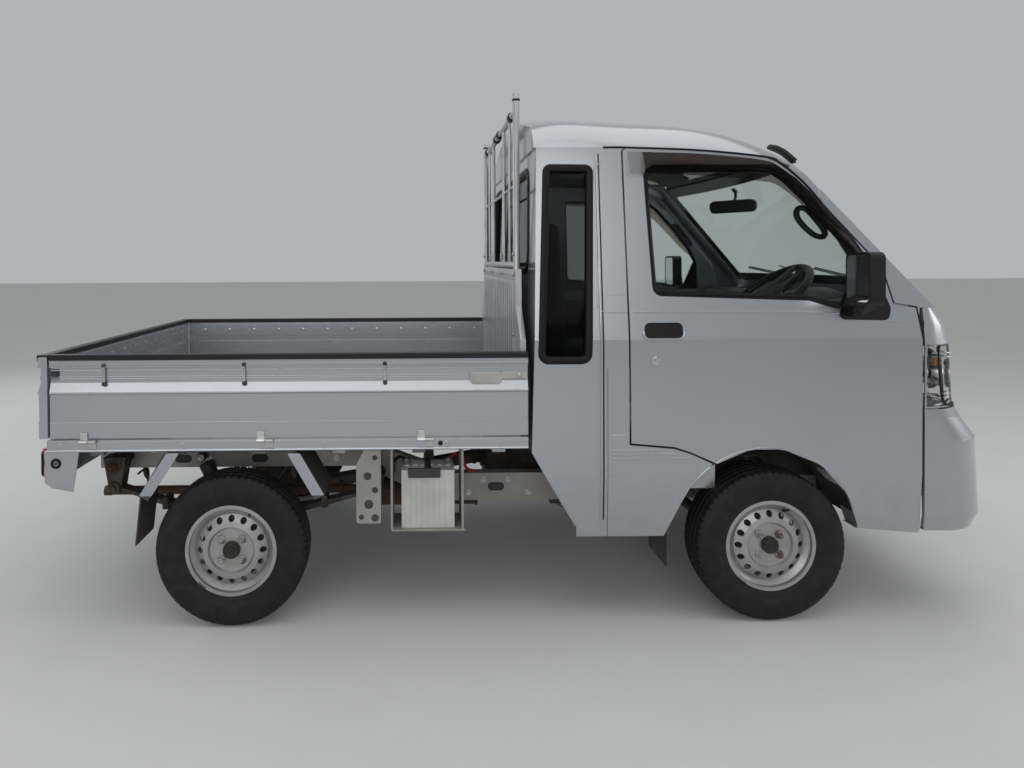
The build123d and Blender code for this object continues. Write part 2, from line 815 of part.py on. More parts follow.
# Rear part of the cab: quarter panels and back wall
with BuildPart() as cab_rear:
    add(cab_shell(cab_rear_x - 10, ditch_x))
    back_low = 600.0
    back = [(-side_half_width(back_low), back_low)]
    back += [(-y, z) for z, y in side_section if back_low < z < 1680]
    back += [(-side_half_width(1679), 1679), (side_half_width(1679), 1679)]
    back += [(y, z) for z, y in reversed(side_section) if back_low < z < 1680]
    back += [(side_half_width(back_low), back_low)]
    extrude(outline(Plane.YZ.offset(cab_rear_x - 10), back), amount=90)
    lean_per_mm = cab_rear_lean / (cab_rear_top - 609)
    rear_cut = [
        (ditch_x + 5, 200),
        (ditch_x + 5, 2000),
        (cab_rear_x + (2000 - 609) * lean_per_mm, 2000),
        (cab_rear_x, 609),
        (cab_rear_x + 156, 347),
        (cab_rear_x + 158, 200),
    ]
    extrude(outline(Plane.XZ, rear_cut), amount=900, both=True, mode=Mode.INTERSECT)
    inner_back = [
        (cab_rear_x + 30 + (2000 - 609) * lean_per_mm, 2000),
        (cab_rear_x + 30, 609),
        (cab_rear_x + 30, 500),
        (ditch_x + 10, 500),
        (ditch_x + 10, 2000),
    ]
    inside_width = side_half_width(1680) - frame_thickness
    extrude(outline(Plane.XZ, inner_back), amount=inside_width, both=True, mode=Mode.SUBTRACT)
    quarter = [(80, 1596), (90, 1604), (222, 1603), (232, 1592), (214, 950), (198, 932), (72, 932), (56, 950)]
    extrude(outline(Plane.XZ, quarter), amount=900, both=True, mode=Mode.SUBTRACT)
    rear_glass = [(-560, 1240), (560, 1240), (510, 1620), (-510, 1620)]
    extrude(outline(Plane.YZ.offset(-20), rear_glass), amount=160, mode=Mode.SUBTRACT)
export(cab_rear, "cab_rear")

# Door outline in side view, and the same grown by the gap round it
door_lower = [arch_point(a) for a in (8, 30, 55, 80, 100)] + [(663, 566), (573, 607), (515, 626)]
door_face = outline(Plane.XZ, door_outline + door_lower)
with BuildSketch(Plane.XZ) as door_hole:
    add(door_face)
    offset(amount=panel_gap, kind=Kind.INTERSECTION)

# Front part of the cab: pillars and sills round the doors, and the windscreen's frame
frame_low = 1106.0
face = [(side_half_width(frame_low), frame_low), (side_half_width(1640), 1640)]
face += [(-y, z) for y, z in reversed(face)]
above = [(-50, 2000), (-50, 1680)] + gutter_line[1:] + [(1058, 2000)]
with BuildPart() as screen_ring:
    add(screen_front)
    add(windscreen_region(screen_frame_depth), mode=Mode.SUBTRACT)
    extrude(outline(Plane.YZ.offset(700), face), amount=1000, mode=Mode.INTERSECT)
    extrude(outline(Plane.XZ, above), amount=900, both=True, mode=Mode.SUBTRACT)

with BuildPart() as cab_front:
    add(cab_shell(ditch_x, 1560))
    add(screen_ring.part)
    add(screen_front, mode=Mode.INTERSECT)
    extrude(outline(Plane.YZ.offset(700), screen_opening), amount=1000, mode=Mode.SUBTRACT)
    extrude(door_hole.sketch, amount=900, both=True, mode=Mode.SUBTRACT)
    ahead = [(door_front_x - 2, 1106), (1700, 1106), (1700, 200), (1100, 200), arch_point(90), (1300, 620)]
    extrude(outline(Plane.XZ, ahead), amount=900, both=True, mode=Mode.SUBTRACT)
    arch_hole = [(476, 300), (568, 484)] + [arch_point(a) for a in (144, 130, 115, 100, 80)]
    arch_hole += [(1200, 560), (1200, 200), (476, 200)]
    extrude(outline(Plane.XZ, arch_hole), amount=900, both=True, mode=Mode.SUBTRACT)
export(cab_front, "cab_front")

# Doors: hung at their front edge
for side, label in ((1, "left"), (-1, "right")):
    with BuildPart() as door:
        wall = side_wall_points(side)
        extrude(outline(Plane.YZ.offset(300), wall), amount=1200)
        extrude(door_face, amount=900, both=True, mode=Mode.INTERSECT)
        extrude(outline(Plane.XZ, door_window), amount=900, both=True, mode=Mode.SUBTRACT)
        for z in door_hinge_heights:
            with BuildSketch(Plane.XY.offset(z)):
                with Locations((door_hinge_x, side * door_hinge_y)):
                    Circle(door_hinge_radius)
            extrude(amount=door_hinge_length)
    export(door, f"door_{label}")

    with BuildPart() as pane:
        pane_points = [(side * (side_half_width(z) - 18 - d), z) for z, d in
                       ((1100, 0), (1610, 0), (1610, glass_thickness), (1100, glass_thickness))]
        extrude(outline(Plane.YZ.offset(430), pane_points), amount=760)
        extrude(outline(Plane.XZ, door_window), amount=900, both=True, mode=Mode.INTERSECT)
    export(pane, f"door_glass_{label}")

    with BuildPart() as mirror:
        with BuildSketch(Plane.YZ.offset(1085)):
            with Locations((side * 845, 1212)):
                RectangleRounded(130, 175, 24)
        extrude(amount=48)
        arm = [(side * (side_half_width(1075) + 0.3), 1075), (side * (side_half_width(1105) + 0.3), 1105), (side * 800, 1130), (side * 830, 1122), (side * 800, 1100)]
        extrude(outline(Plane.YZ.offset(1125), arm), amount=40)
        with BuildSketch(Plane.YZ.offset(1125)):
            with Locations((side * 815, 1150)):
                Rectangle(24, 60)
        extrude(amount=20)
    export(mirror, f"mirror_{label}")

# Fixed glass
with BuildPart() as windscreen:
    add(windscreen_region(8))
    add(windscreen_region(8 + 2 * glass_thickness), mode=Mode.SUBTRACT)
    extrude(outline(Plane.YZ.offset(700), screen_opening), amount=1000, mode=Mode.INTERSECT)
export(windscreen, "windscreen")

with BuildPart() as rear_window:
    extrude(outline(Plane.YZ.offset(40), rear_glass), amount=200)
    pane_side = [
        (cab_rear_x + 12 + (1100 - 609) * lean_per_mm, 1100),
        (cab_rear_x + 12 + (1700 - 609) * lean_per_mm, 1700),
        (cab_rear_x + 17 + (1700 - 609) * lean_per_mm, 1700),
        (cab_rear_x + 17 + (1100 - 609) * lean_per_mm, 1100),
    ]
    extrude(outline(Plane.XZ, pane_side), amount=900, both=True, mode=Mode.INTERSECT)
export(rear_window, "rear_window")

with BuildPart() as quarter_windows:
    for side in (1, -1):
        pane_points = [(side * (side_half_width(z) - 12 - d), z) for z, d in
                       ((900, 0), (1095, 0), (1640, 0), (1640, glass_thickness), (1095, glass_thickness),
                        (900, glass_thickness))]
        extrude(outline(Plane.YZ.offset(40), pane_points), amount=230)
    extrude(outline(Plane.XZ, quarter), amount=900, both=True, mode=Mode.INTERSECT)
export(quarter_windows, "quarter_windows")


def nose_outline(z, tip_x, half_y, corner_radius, bulge, back_x):
    """Plan outline of the nose at one height: flat sides, round corners, bowed front."""
    shoulder_x = tip_x - bulge
    with BuildSketch(Plane.XY.offset(z)) as plan:
        with BuildLine():
            Line((back_x, -half_y), (shoulder_x - corner_radius, -half_y))
            ThreePointArc(
                (shoulder_x - corner_radius, -half_y),
                (shoulder_x - corner_radius * (1 - sin(radians(45))), -half_y + corner_radius * (1 - cos(radians(45)))),
                (shoulder_x, -half_y + corner_radius),
            )
            ThreePointArc(
                (shoulder_x, -half_y + corner_radius), (tip_x, 0), (shoulder_x, half_y - corner_radius)
            )
            ThreePointArc(
                (shoulder_x, half_y - corner_radius),
                (shoulder_x - corner_radius * (1 - sin(radians(45))), half_y - corner_radius * (1 - cos(radians(45)))),
                (shoulder_x - corner_radius, half_y),
            )
            Line((shoulder_x - corner_radius, half_y), (back_x, half_y))
            Line((back_x, half_y), (back_x, -half_y))
        make_face()
    return plan.sketch


nose_back_x = door_front_x + 9
nose_stations = (
    # height, tip X, half width, corner radius, bulge
    (754.0, 1593.0, body_half_width, 155.0, 24.0),
    (978.0, 1578.0, body_half_width, 150.0, 24.0),
    (1045.0, 1552.0, 731.0, 104.0, 40.0),
    (1104.0, 1520.0, 724.0, 28.0, 85.0),
)
nose_wall = 28.0


def nose_solid(inset, back_x):
    """The nose's outer form, or its cavity when inset."""
    with BuildPart() as form:
        for low, high in zip(nose_stations, nose_stations[1:]):
            for z, tip, half, corner, bulge in (low, high):
                top_inset = inset if z == nose_stations[-1][0] else 0
                add(nose_outline(z - top_inset, tip - inset, half - inset, max(corner - inset, 8), bulge, back_x))
            loft(ruled=True)
    return form.part


with BuildPart() as nose_panel:
    add(nose_solid(0, nose_back_x))
    add(nose_solid(nose_wall, nose_back_x - 10), mode=Mode.SUBTRACT)
    # The rear edge is set back behind the skin, where the door's front edge swings in
    for side in (1, -1):
        set_back = [(nose_back_x - 1, side * 733), (nose_back_x + 6, side * 727), (nose_back_x + 6, side * 600),
                    (nose_back_x - 1, side * 600)]
        extrude(outline(Plane.XY.offset(700), set_back), amount=360, mode=Mode.SUBTRACT)
    # The grille's recess between the lamps
    with BuildSketch(Plane.YZ.offset(1500)):
        with Locations((0, 850)):
            RectangleRounded(760, 110, 20)
    extrude(amount=300, mode=Mode.SUBTRACT)
    # Lamp openings wrap round the corners
    for side in (1, -1):
        lamp = [(side * 470, 760), (side * 800, 760), (side * 800, 978), (side * 500, 965)]
        extrude(outline(Plane.YZ.offset(nose_back_x + 6), lamp), amount=400, mode=Mode.SUBTRACT)
export(nose_panel, "nose_panel")

with BuildPart() as headlamps:
    add(nose_solid(2, nose_back_x + 10))
    add(nose_solid(nose_wall - 4, nose_back_x - 10), mode=Mode.SUBTRACT)
    with BuildSketch(Plane.YZ.offset(nose_back_x)):
        for side in (1, -1):
            with BuildLine():
                Polyline((side * 474, 764), (side * 800, 764), (side * 800, 974), (side * 504, 961), close=True)
            make_face()
    extrude(amount=400, mode=Mode.INTERSECT)
export(headlamps, "headlamps")

with BuildPart() as grille:
    add(nose_solid(14, nose_back_x + 10))
    add(nose_solid(nose_wall - 4, nose_back_x - 10), mode=Mode.SUBTRACT)
    with BuildSketch(Plane.YZ.offset(1450)):
        with Locations((0, 850)):
            RectangleRounded(756, 106, 18)
    extrude(amount=300, mode=Mode.INTERSECT)
    with BuildSketch(Plane.YZ.offset(1450)):
        for z in (822, 850, 878):
            with Locations((0, z)):
                Rectangle(720, 16)
    extrude(amount=300, mode=Mode.SUBTRACT)
export(grille, "grille")

# Front bumper: wraps the corners back to the doors
bumper_stations = (
    (323.0, front_end - 18, body_half_width - 8, 175.0, 25.0),
    (372.0, front_end, body_half_width, 170.0, 25.0),
    (640.0, front_end - 16, body_half_width, 170.0, 25.0),
    (715.0, front_end - 76, body_half_width, 160.0, 25.0),
    (752.0, front_end - 100, body_half_width - 1, 150.0, 25.0),
)
bumper_wall = 22.0
with BuildPart() as front_bumper:
    for low, high in zip(bumper_stations, bumper_stations[1:]):
        for z, tip, half, corner, bulge in (low, high):
            add(nose_outline(z, tip, half, corner, bulge, nose_back_x))
        loft(ruled=True)
    for low, high in zip(bumper_stations, bumper_stations[1:]):
        for z, tip, half, corner, bulge in (low, high):
            z = z - 1 if z == bumper_stations[0][0] else z
            z = z + 1 if z == bumper_stations[-1][0] else z
            add(nose_outline(z, tip - bumper_wall, half - bumper_wall, corner - bumper_wall, bulge, nose_back_x - 5))
        loft(ruled=True, mode=Mode.SUBTRACT)
    for side in (1, -1):
        set_back = [(nose_back_x - 1, side * 733), (nose_back_x + 6, side * 727), (nose_back_x + 6, side * 600),
                    (nose_back_x - 1, side * 600)]
        extrude(outline(Plane.XY.offset(300), set_back), amount=500, mode=Mode.SUBTRACT)
export(front_bumper, "front_bumper")

# Interior
wheel_centre = (1035.0, -350.0, 1125.0)
wheel_tilt = 40.0
column_direction = (sin(radians(wheel_tilt)), 0, -cos(radians(wheel_tilt)))
wheel_radius = 185.0
rim_tube = 14.0
with BuildPart() as dashboard:
    dash = [(1336, 860), (1336, 1074), (1388, 1078), (1300, 1130), (1180, 1120), (1130, 1060), (1150, 940), (1200, 860)]
    extrude(outline(Plane.XZ.offset(-610), dash), amount=1220)
    with BuildSketch(Plane(origin=wheel_centre, x_dir=(0, 1, 0), z_dir=column_direction)):
        Circle(42)
    extrude(amount=600, mode=Mode.SUBTRACT)
export(dashboard, "dashboard")

for label, seat_y in (("left", 345), ("right", -345)):
    with BuildPart() as seat:
        cushion = [(150, 784), (640, 784), (660, 850), (630, 890), (200, 860), (150, 840)]
        extrude(outline(Plane.XZ.offset(-(seat_y + 240)), cushion), amount=480)
        back_rest = [(92, 896), (200, 896), (160, 1420), (88, 1420)]
        extrude(outline(Plane.XZ.offset(-(seat_y + 235)), back_rest), amount=470)
    export(seat, f"seat_{label}")

with BuildPart() as steering_wheel:
    wheel_plane = Plane(origin=wheel_centre, x_dir=(0, 1, 0), z_dir=column_direction)
    tube_plane = Plane(origin=wheel_centre, x_dir=(0, 1, 0), z_dir=wheel_plane.y_dir)
    with BuildSketch(tube_plane):
        with Locations((wheel_radius, 0)):
            Circle(rim_tube)
    revolve(axis=Axis(wheel_centre, column_direction))
    with BuildSketch(wheel_plane.offset(6)):
        Circle(58)
        for angle in (-90, 30, 150):
            with BuildLine():
                Line((0, 0), (wheel_radius * cos(radians(angle)), wheel_radius * sin(radians(angle))))
        with PolarLocations(wheel_radius / 2, 3, start_angle=90):
            Rectangle(wheel_radius, 34)
    extrude(amount=22)
export(steering_wheel, "steering_wheel")

with BuildPart() as steering_column:
    column_plane = Plane(origin=wheel_centre, x_dir=(0, 1, 0), z_dir=column_direction)
    with BuildSketch(column_plane.offset(34)):
        Circle(38)
    extrude(amount=120)
    with BuildSketch(column_plane.offset(154)):
        Circle(18)
    extrude(amount=296)
export(steering_column, "steering_column")
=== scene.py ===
import json
from math import cos, pi, radians, sin, sqrt

import bmesh
import bpy
from mathutils import Matrix, Vector
from mathutils.bvhtree import BVHTree

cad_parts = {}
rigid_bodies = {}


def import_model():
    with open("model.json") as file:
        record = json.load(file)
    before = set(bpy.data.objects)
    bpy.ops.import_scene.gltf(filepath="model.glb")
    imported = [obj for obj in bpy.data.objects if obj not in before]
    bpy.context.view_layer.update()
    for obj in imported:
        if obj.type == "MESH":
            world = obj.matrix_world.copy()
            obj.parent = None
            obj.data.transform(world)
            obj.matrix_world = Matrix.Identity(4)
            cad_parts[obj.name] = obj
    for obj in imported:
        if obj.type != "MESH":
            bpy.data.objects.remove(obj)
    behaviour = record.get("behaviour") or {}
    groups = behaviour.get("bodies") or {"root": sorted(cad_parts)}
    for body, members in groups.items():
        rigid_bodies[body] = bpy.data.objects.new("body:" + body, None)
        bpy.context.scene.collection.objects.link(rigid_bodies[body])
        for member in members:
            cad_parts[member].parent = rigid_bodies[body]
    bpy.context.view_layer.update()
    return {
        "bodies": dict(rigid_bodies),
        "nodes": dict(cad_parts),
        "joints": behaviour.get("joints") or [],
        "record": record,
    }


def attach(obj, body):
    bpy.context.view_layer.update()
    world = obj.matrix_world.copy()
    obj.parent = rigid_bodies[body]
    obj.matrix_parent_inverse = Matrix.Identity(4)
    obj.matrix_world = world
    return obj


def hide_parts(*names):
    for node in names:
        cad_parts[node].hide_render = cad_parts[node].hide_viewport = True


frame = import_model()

nodes = frame["nodes"]

# Materials

# Sockets of the mix node for colours, which share their names with others
MIX_A, MIX_B, MIX_RESULT = 6, 7, 2


class Shader:
    """A material's node tree with a principled shader, and short ways to add to it."""

    def __init__(self, name, colour, rough=0.5, metallic=0.0, **extra):
        self.material = bpy.data.materials.new(name)
        self.material.use_nodes = True
        self.tree = self.material.node_tree
        self.shader = self.tree.nodes["Principled BSDF"]
        self.coords = self.add("ShaderNodeTexCoord").outputs["Object"]
        self.colour = colour
        self.set("Base Color", (*colour, 1.0))
        self.set("Roughness", rough)
        self.set("Metallic", metallic)
        for label, value in extra.items():
            self.set(label.replace("_", " "), value)

    def add(self, kind, inputs=None, **values):
        """A new node; its inputs are given as values or as sockets to link to."""
        node = self.tree.nodes.new(kind)
        for label, value in values.items():
            setattr(node, label, value)
        for label, value in (inputs or {}).items():
            if isinstance(value, bpy.types.NodeSocket):
                self.tree.links.new(value, node.inputs[label])
            else:
                node.inputs[label].default_value = value
        return node

    def link(self, start, label):
        self.tree.links.new(start, self.shader.inputs[label])

    def set(self, label, value):
        self.shader.inputs[label].default_value = value

    def noise(self, scale, detail=4.0, rough=0.55):
        return self.add("ShaderNodeTexNoise", {"Scale": scale, "Detail": detail,
            "Roughness": rough, "Vector": self.coords}).outputs["Fac"]

    def wave(self, scale, direction, **inputs):
        return self.add("ShaderNodeTexWave", {"Scale": scale, "Vector": self.coords, **inputs},
            bands_direction=direction).outputs["Fac"]

    def spread(self, value, low, high, to_low=0.0, to_high=1.0):
        return self.add("ShaderNodeMapRange",
            {"From Min": low, "From Max": high, "To Min": to_low, "To Max": to_high,
            "Value": value}, interpolation_type="SMOOTHSTEP").outputs["Result"]

    def times(self, first, second):
        return self.add("ShaderNodeMath", {0: first, 1: second},
            operation="MULTIPLY").outputs["Value"]

    def height(self):
        return self.add("ShaderNodeSeparateXYZ", {"Vector": self.coords}).outputs["Z"]

    def mix(self, factor, first, second):
        """Mixes two colours, each a triple or a socket."""
        ends = [(*value, 1.0) if isinstance(value, tuple) else value for value in (first, second)]
        return self.add("ShaderNodeMix", {"Factor": factor, MIX_A: ends[0], MIX_B: ends[1]},
            data_type="RGBA").outputs[MIX_RESULT]

    def paint(self, socket):
        self.link(socket, "Base Color")

    def roughen(self, factor, low, high):
        self.link(self.spread(factor, 0.0, 1.0, low, high), "Roughness")

    def bump(self, value, distance, strength=1.0):
        node = self.add("ShaderNodeBump", {"Distance": distance, "Strength": strength,
            "Height": value})
        previous = self.shader.inputs["Normal"].links
        if previous:
            self.tree.links.new(previous[0].from_socket, node.inputs["Normal"])
        self.link(node.outputs["Normal"], "Normal")


def darker(colour, share):
    return tuple(part * share for part in colour)


DUST = (0.23, 0.2, 0.165)


def dusty(shader, base, amount, low=0.1, high=0.75, rough=(0.3, 0.75)):
    """Road dust that gathers low down and in blotches."""
    by_height = shader.spread(shader.height(), high, low)
    patches = shader.spread(shader.noise(9.0, 6.0, 0.65), 0.35, 0.7, 0.25, 1.0)
    dust = shader.times(shader.times(by_height, patches), amount)
    shader.paint(shader.mix(dust, base, DUST))
    shader.roughen(dust, *rough)


def body_paint():
    """Silver metallic paint under clear coat, with fine flakes and a film of dust low down."""
    shader = Shader("silver_paint", (0.445, 0.475, 0.51), 0.3, 0.72, Coat_Weight=0.85,
        Coat_Roughness=0.06)
    flakes = shader.noise(2600.0, 1.0)
    cloud = shader.noise(2.2, 3.0)
    tone = shader.mix(shader.spread(cloud, 0.3, 0.7), darker(shader.colour, 0.94), shader.colour)
    tone = shader.mix(shader.spread(flakes, 0.42, 0.62), darker(shader.colour, 0.86), tone)
    dusty(shader, tone, 0.35, rough=(0.27, 0.6))
    shader.bump(shader.noise(5.0, 2.0), 0.0006, 0.25)
    shader.bump(flakes, 0.00006, 0.35)
    return shader.material


def plain_paint(name, colour, rough, metallic, dust, grain=320.0, depth=0.0002, **extra):
    """Painted or moulded surface with cloudy colour, fine grain and dust."""
    shader = Shader(name, colour, rough, metallic, **extra)
    cloud = shader.spread(shader.noise(7.0, 5.0), 0.3, 0.72)
    tone = shader.mix(cloud, darker(colour, 0.8), colour)
    if dust:
        dusty(shader, tone, dust, rough=(rough, min(rough + 0.35, 0.95)))
    else:
        shader.paint(tone)
        shader.roughen(cloud, rough * 0.85, min(rough * 1.15, 1.0))
    shader.bump(shader.noise(grain, 3.0), depth, 0.6)
    return shader.material


def glass(name, colour, rough=0.0, weight=1.0):
    """Clear or tinted glass with a faint film."""
    shader = Shader(name, colour, rough, 0.0, Transmission_Weight=weight, IOR=1.12)
    film = shader.spread(shader.noise(5.0, 5.0, 0.6), 0.45, 0.8, 0.0, 0.06)
    shader.roughen(film, rough, rough + 0.3)
    return shader.material


def rust(name, colour, rusted, amount):
    """Steel that has rusted in patches."""
    shader = Shader(name, colour, 0.6, 0.4)
    patches = shader.spread(shader.noise(22.0, 8.0, 0.7), 0.5 - amount / 2, 0.62 - amount / 4)
    speckle = shader.mix(shader.noise(160.0, 4.0), darker(rusted, 0.55), rusted)
    shader.paint(shader.mix(patches, colour, speckle))
    shader.roughen(patches, 0.45, 0.92)
    shader.bump(shader.noise(150.0, 6.0), 0.0006, 0.8)
    return shader.material


def rubber():
    """Tyre rubber, greyed by dust on the tread and in streaks."""
    shader = Shader("tyre_rubber", (0.011, 0.011, 0.012), 0.66, Specular_IOR_Level=0.25)
    streaks = shader.spread(shader.noise(30.0, 6.0, 0.7), 0.42, 0.75, 0.0, 0.55)
    shader.paint(shader.mix(streaks, shader.colour, (0.034, 0.032, 0.029)))
    shader.roughen(streaks, 0.6, 0.9)
    shader.bump(shader.noise(500.0, 3.0), 0.00025, 0.7)
    return shader.material


def cloth():
    """Woven seat cloth with a fine check of threads."""
    shader = Shader("seat_cloth", (0.1, 0.105, 0.115), 0.9, Sheen_Weight=0.35, Sheen_Roughness=0.5)
    waves = [shader.wave(190.0, turn, Distortion=0.6, Detail=1.0) for turn in "XYZ"]
    weave = shader.times(shader.times(waves[0], waves[1]), waves[2])
    fuzz = shader.spread(shader.noise(420.0, 3.0), 0.35, 0.7)
    tone = shader.mix(weave, darker(shader.colour, 0.6), (0.16, 0.165, 0.175))
    shader.paint(shader.mix(fuzz, tone, darker(shader.colour, 1.25)))
    shader.bump(weave, 0.0006, 0.8)
    shader.bump(fuzz, 0.0002, 0.5)
    return shader.material


def moulded(name, colour, rough, grain=900.0, depth=0.0003, wear=0.0):
    """Grained plastic, a little paler and smoother where it is handled."""
    shader = Shader(name, colour, rough, Specular_IOR_Level=0.45)
    grains = shader.add("ShaderNodeTexVoronoi", {"Scale": grain, "Vector": shader.coords},
        feature="SMOOTH_F1")
    cloud = shader.spread(shader.noise(6.0, 5.0), 0.3, 0.72)
    tone = shader.mix(cloud, darker(colour, 0.82), colour)
    if wear:
        rubbed = shader.times(shader.spread(shader.noise(14.0, 5.0, 0.7), 0.5, 0.78), wear)
        tone = shader.mix(rubbed, tone, tuple(min(part * 2.4 + 0.02, 1.0) for part in colour))
    shader.paint(tone)
    shader.roughen(cloud, rough * 0.9, min(rough * 1.12, 1.0))
    shader.bump(grains.outputs["Distance"], depth, 0.7)
    return shader.material


def fluted(name, colour, scale, direction, rough=0.05, weight=1.0):
    """Lamp lens with moulded flutes."""
    shader = Shader(name, colour, rough, 0.0, Transmission_Weight=weight, IOR=1.2)
    haze = shader.spread(shader.noise(18.0, 5.0, 0.6), 0.4, 0.75)
    shader.paint(shader.mix(haze, darker(colour, 0.93), colour))
    shader.roughen(haze, rough, rough + 0.12)
    shader.bump(shader.wave(scale, direction), 0.0009, 0.5)
    return shader.material


finishes = {
    # slot: the material made for it
    "paint": body_paint(),
    "gate_paint": body_paint(),
    "silver_tube": plain_paint("silver_tube", (0.5, 0.51, 0.53), 0.34, 0.6, 0.2, Coat_Weight=0.3),
    "chassis": plain_paint("chassis_black", (0.022, 0.022, 0.024), 0.55, 0.1, 0.55, 90.0, 0.0006),
    "rusty_steel": rust("rusty_steel", (0.05, 0.046, 0.043), (0.13, 0.07, 0.04), 0.38),
    "iron": rust("dusty_iron", (0.06, 0.058, 0.056), (0.1, 0.07, 0.05), 0.2),
    "tyre": rubber(),
    "rim_steel": plain_paint("rim_silver", (0.47, 0.475, 0.48), 0.38, 0.7, 0.45, 240.0, 0.0002,
        Coat_Weight=0.2),
    "glass": glass("window_glass", (0.8, 0.86, 0.84)),
    "dark_glass": glass("dark_glass", (0.16, 0.18, 0.18)),
    "black_plastic": plain_paint("black_plastic", (0.012, 0.012, 0.013), 0.42, 0.0, 0.12, 700.0,
        0.00012, Specular_IOR_Level=0.3),
    "lamp_clear": glass("lamp_lens", (0.93, 0.925, 0.91), 0.1),
    "lamp_red": plain_paint("red_lens", (0.36, 0.012, 0.01), 0.12, 0.0, 0.1, 200.0, 0.00004,
        Coat_Weight=0.8),
    "lamp_amber": plain_paint("amber_lens", (0.75, 0.24, 0.03), 0.12, 0.0, 0.05, 200.0, 0.00004,
        Coat_Weight=0.8),
    "seat_cloth": cloth(),
    "battery_case": plain_paint("battery_case", (0.6, 0.6, 0.58), 0.4, 0.0, 0.45, 260.0, 0.00015),
    "interior_grey": plain_paint("interior_grey", (0.055, 0.056, 0.06), 0.6, 0.0, 0.0, 900.0,
        0.00018),
    "reflector": plain_paint("lamp_reflector", (0.66, 0.67, 0.68), 0.2, 0.95, 0.0, 120.0, 0.00005),
    "rubber": plain_paint("flap_rubber", (0.02, 0.02, 0.02), 0.75, 0.0, 0.5, 160.0, 0.0004),
    "seal_rubber": plain_paint("seal_rubber", (0.008, 0.008, 0.009), 0.42, 0.0, 0.05, 420.0,
        0.0001, Specular_IOR_Level=0.2),
    "sash_black": plain_paint("sash_black", (0.007, 0.007, 0.008), 0.25, 0.0, 0.04, 60.0, 0.00003,
        Specular_IOR_Level=0.3, Coat_Weight=0.15),
    "smoked": glass("smoked_visor", (0.36, 0.31, 0.28)),
    "clear_block": glass("visor_clear", (0.82, 0.8, 0.78)),
    "nut_steel": rust("zinc_nut", (0.36, 0.355, 0.34), (0.2, 0.13, 0.09), 0.12),
    "zinc": plain_paint("zinc_plate", (0.52, 0.52, 0.5), 0.36, 0.85, 0.35, 260.0, 0.00015),
    "mirror_glass": plain_paint("mirror_glass", (0.8, 0.81, 0.82), 0.04, 1.0, 0.0, 8.0, 0.00001),
    "mat": moulded("floor_mat", (0.022, 0.022, 0.023), 0.85, 260.0, 0.0009, 0.25),
    "trim_grey": moulded("trim_grey", (0.105, 0.108, 0.115), 0.62, 900.0, 0.0003, 0.2),
    "trim_dark": moulded("trim_dark", (0.032, 0.033, 0.036), 0.6, 900.0, 0.0003, 0.2),
    "grip": moulded("wheel_grip", (0.022, 0.022, 0.023), 0.5, 700.0, 0.0004, 0.4),
    "screen": plain_paint("dial_screen", (0.01, 0.014, 0.022), 0.12, 0.0, 0.0, 40.0, 0.00001,
        Coat_Weight=0.6),
    "dial_mark": plain_paint("dial_marks", (0.55, 0.56, 0.55), 0.5, 0.0, 0.0, 40.0, 0.00001),
    "needle": plain_paint("needle", (0.62, 0.1, 0.03), 0.4, 0.0, 0.0, 40.0, 0.00001),
    "bulb_amber": fluted("amber_bulb", (0.66, 0.34, 0.14), 120.0, "Z", 0.08, 0.55),
    "bulb_clear": glass("bulb_glass", (0.92, 0.92, 0.9)),
    "lens_red": fluted("tail_red", (0.62, 0.02, 0.02), 70.0, "Y", 0.1, 0.35),
    "lens_amber": fluted("tail_amber", (0.85, 0.32, 0.04), 70.0, "Y", 0.1, 0.35),
    "lens_clear": fluted("tail_clear", (0.85, 0.85, 0.84), 70.0, "Y", 0.1, 0.5),
    "frame_grey": plain_paint("frame_grey", (0.36, 0.355, 0.33), 0.5, 0.3, 0.6, 90.0, 0.0004),
    "bed_metal": plain_paint("bed_metal", (0.42, 0.43, 0.44), 0.5, 0.6, 0.6, 60.0, 0.0003),
    "lead": plain_paint("battery_lead", (0.28, 0.28, 0.29), 0.5, 0.7, 0.3, 200.0, 0.0003),
    "red_cable": plain_paint("red_cable", (0.36, 0.02, 0.02), 0.5, 0.0, 0.3, 300.0, 0.0001),
    "aluminium": plain_paint("cast_alloy", (0.36, 0.36, 0.355), 0.5, 0.85, 0.35, 180.0, 0.0005),
    "canvas": moulded("visor_vinyl", (0.3, 0.295, 0.285), 0.8, 600.0, 0.0005),
    "chrome": plain_paint("bright_metal", (0.72, 0.72, 0.72), 0.14, 1.0, 0.0, 60.0, 0.00002),
}

record_slots = {part["node"]: part["material_slot"] for part in frame["record"].get("subparts", [])}

# Finishes that differ from the record's slot
node_finish = {"headboard": "silver_tube", "quarter_windows": "dark_glass",
    "rear_window": "dark_glass", "leaf_springs": "iron", "chassis_frame": "frame_grey",
    "battery_tray": "frame_grey"}
for name, node in nodes.items():
    slot = node_finish.get(name) or record_slots.get(name) or "paint"
    node.data.materials.clear()
    node.data.materials.append(finishes.get(slot, finishes["paint"]))

# Mesh building: closed shapes in the row frame, collected into pieces

HALF_WIDTH = 0.7375
SIDE_SECTION = (
    # height, depth in from the half width
    (0.312, 0.0125),
    (0.520, 0.0),
    (1.000, 0.0),
    (1.095, 0.0105),
    (1.700, 0.0755),
)
SCREEN_TOP = (0.973, 1.71)
SCREEN_SLOPE = 0.527 / 0.57
SCREEN_RADIUS = 2.709
BACK_WALL = (0.0175, 0.609, 0.02846)


def on_side(x, z, lift=0.0):
    """A point on the right cab side, raised off it."""
    depth = SIDE_SECTION[-1][1]
    for (low, low_depth), (high, high_depth) in zip(SIDE_SECTION, SIDE_SECTION[1:]):
        if z <= high:
            depth = low_depth + (high_depth - low_depth) * (z - low) / (high - low)
            break
    return Vector((x, depth - HALF_WIDTH - lift, z))


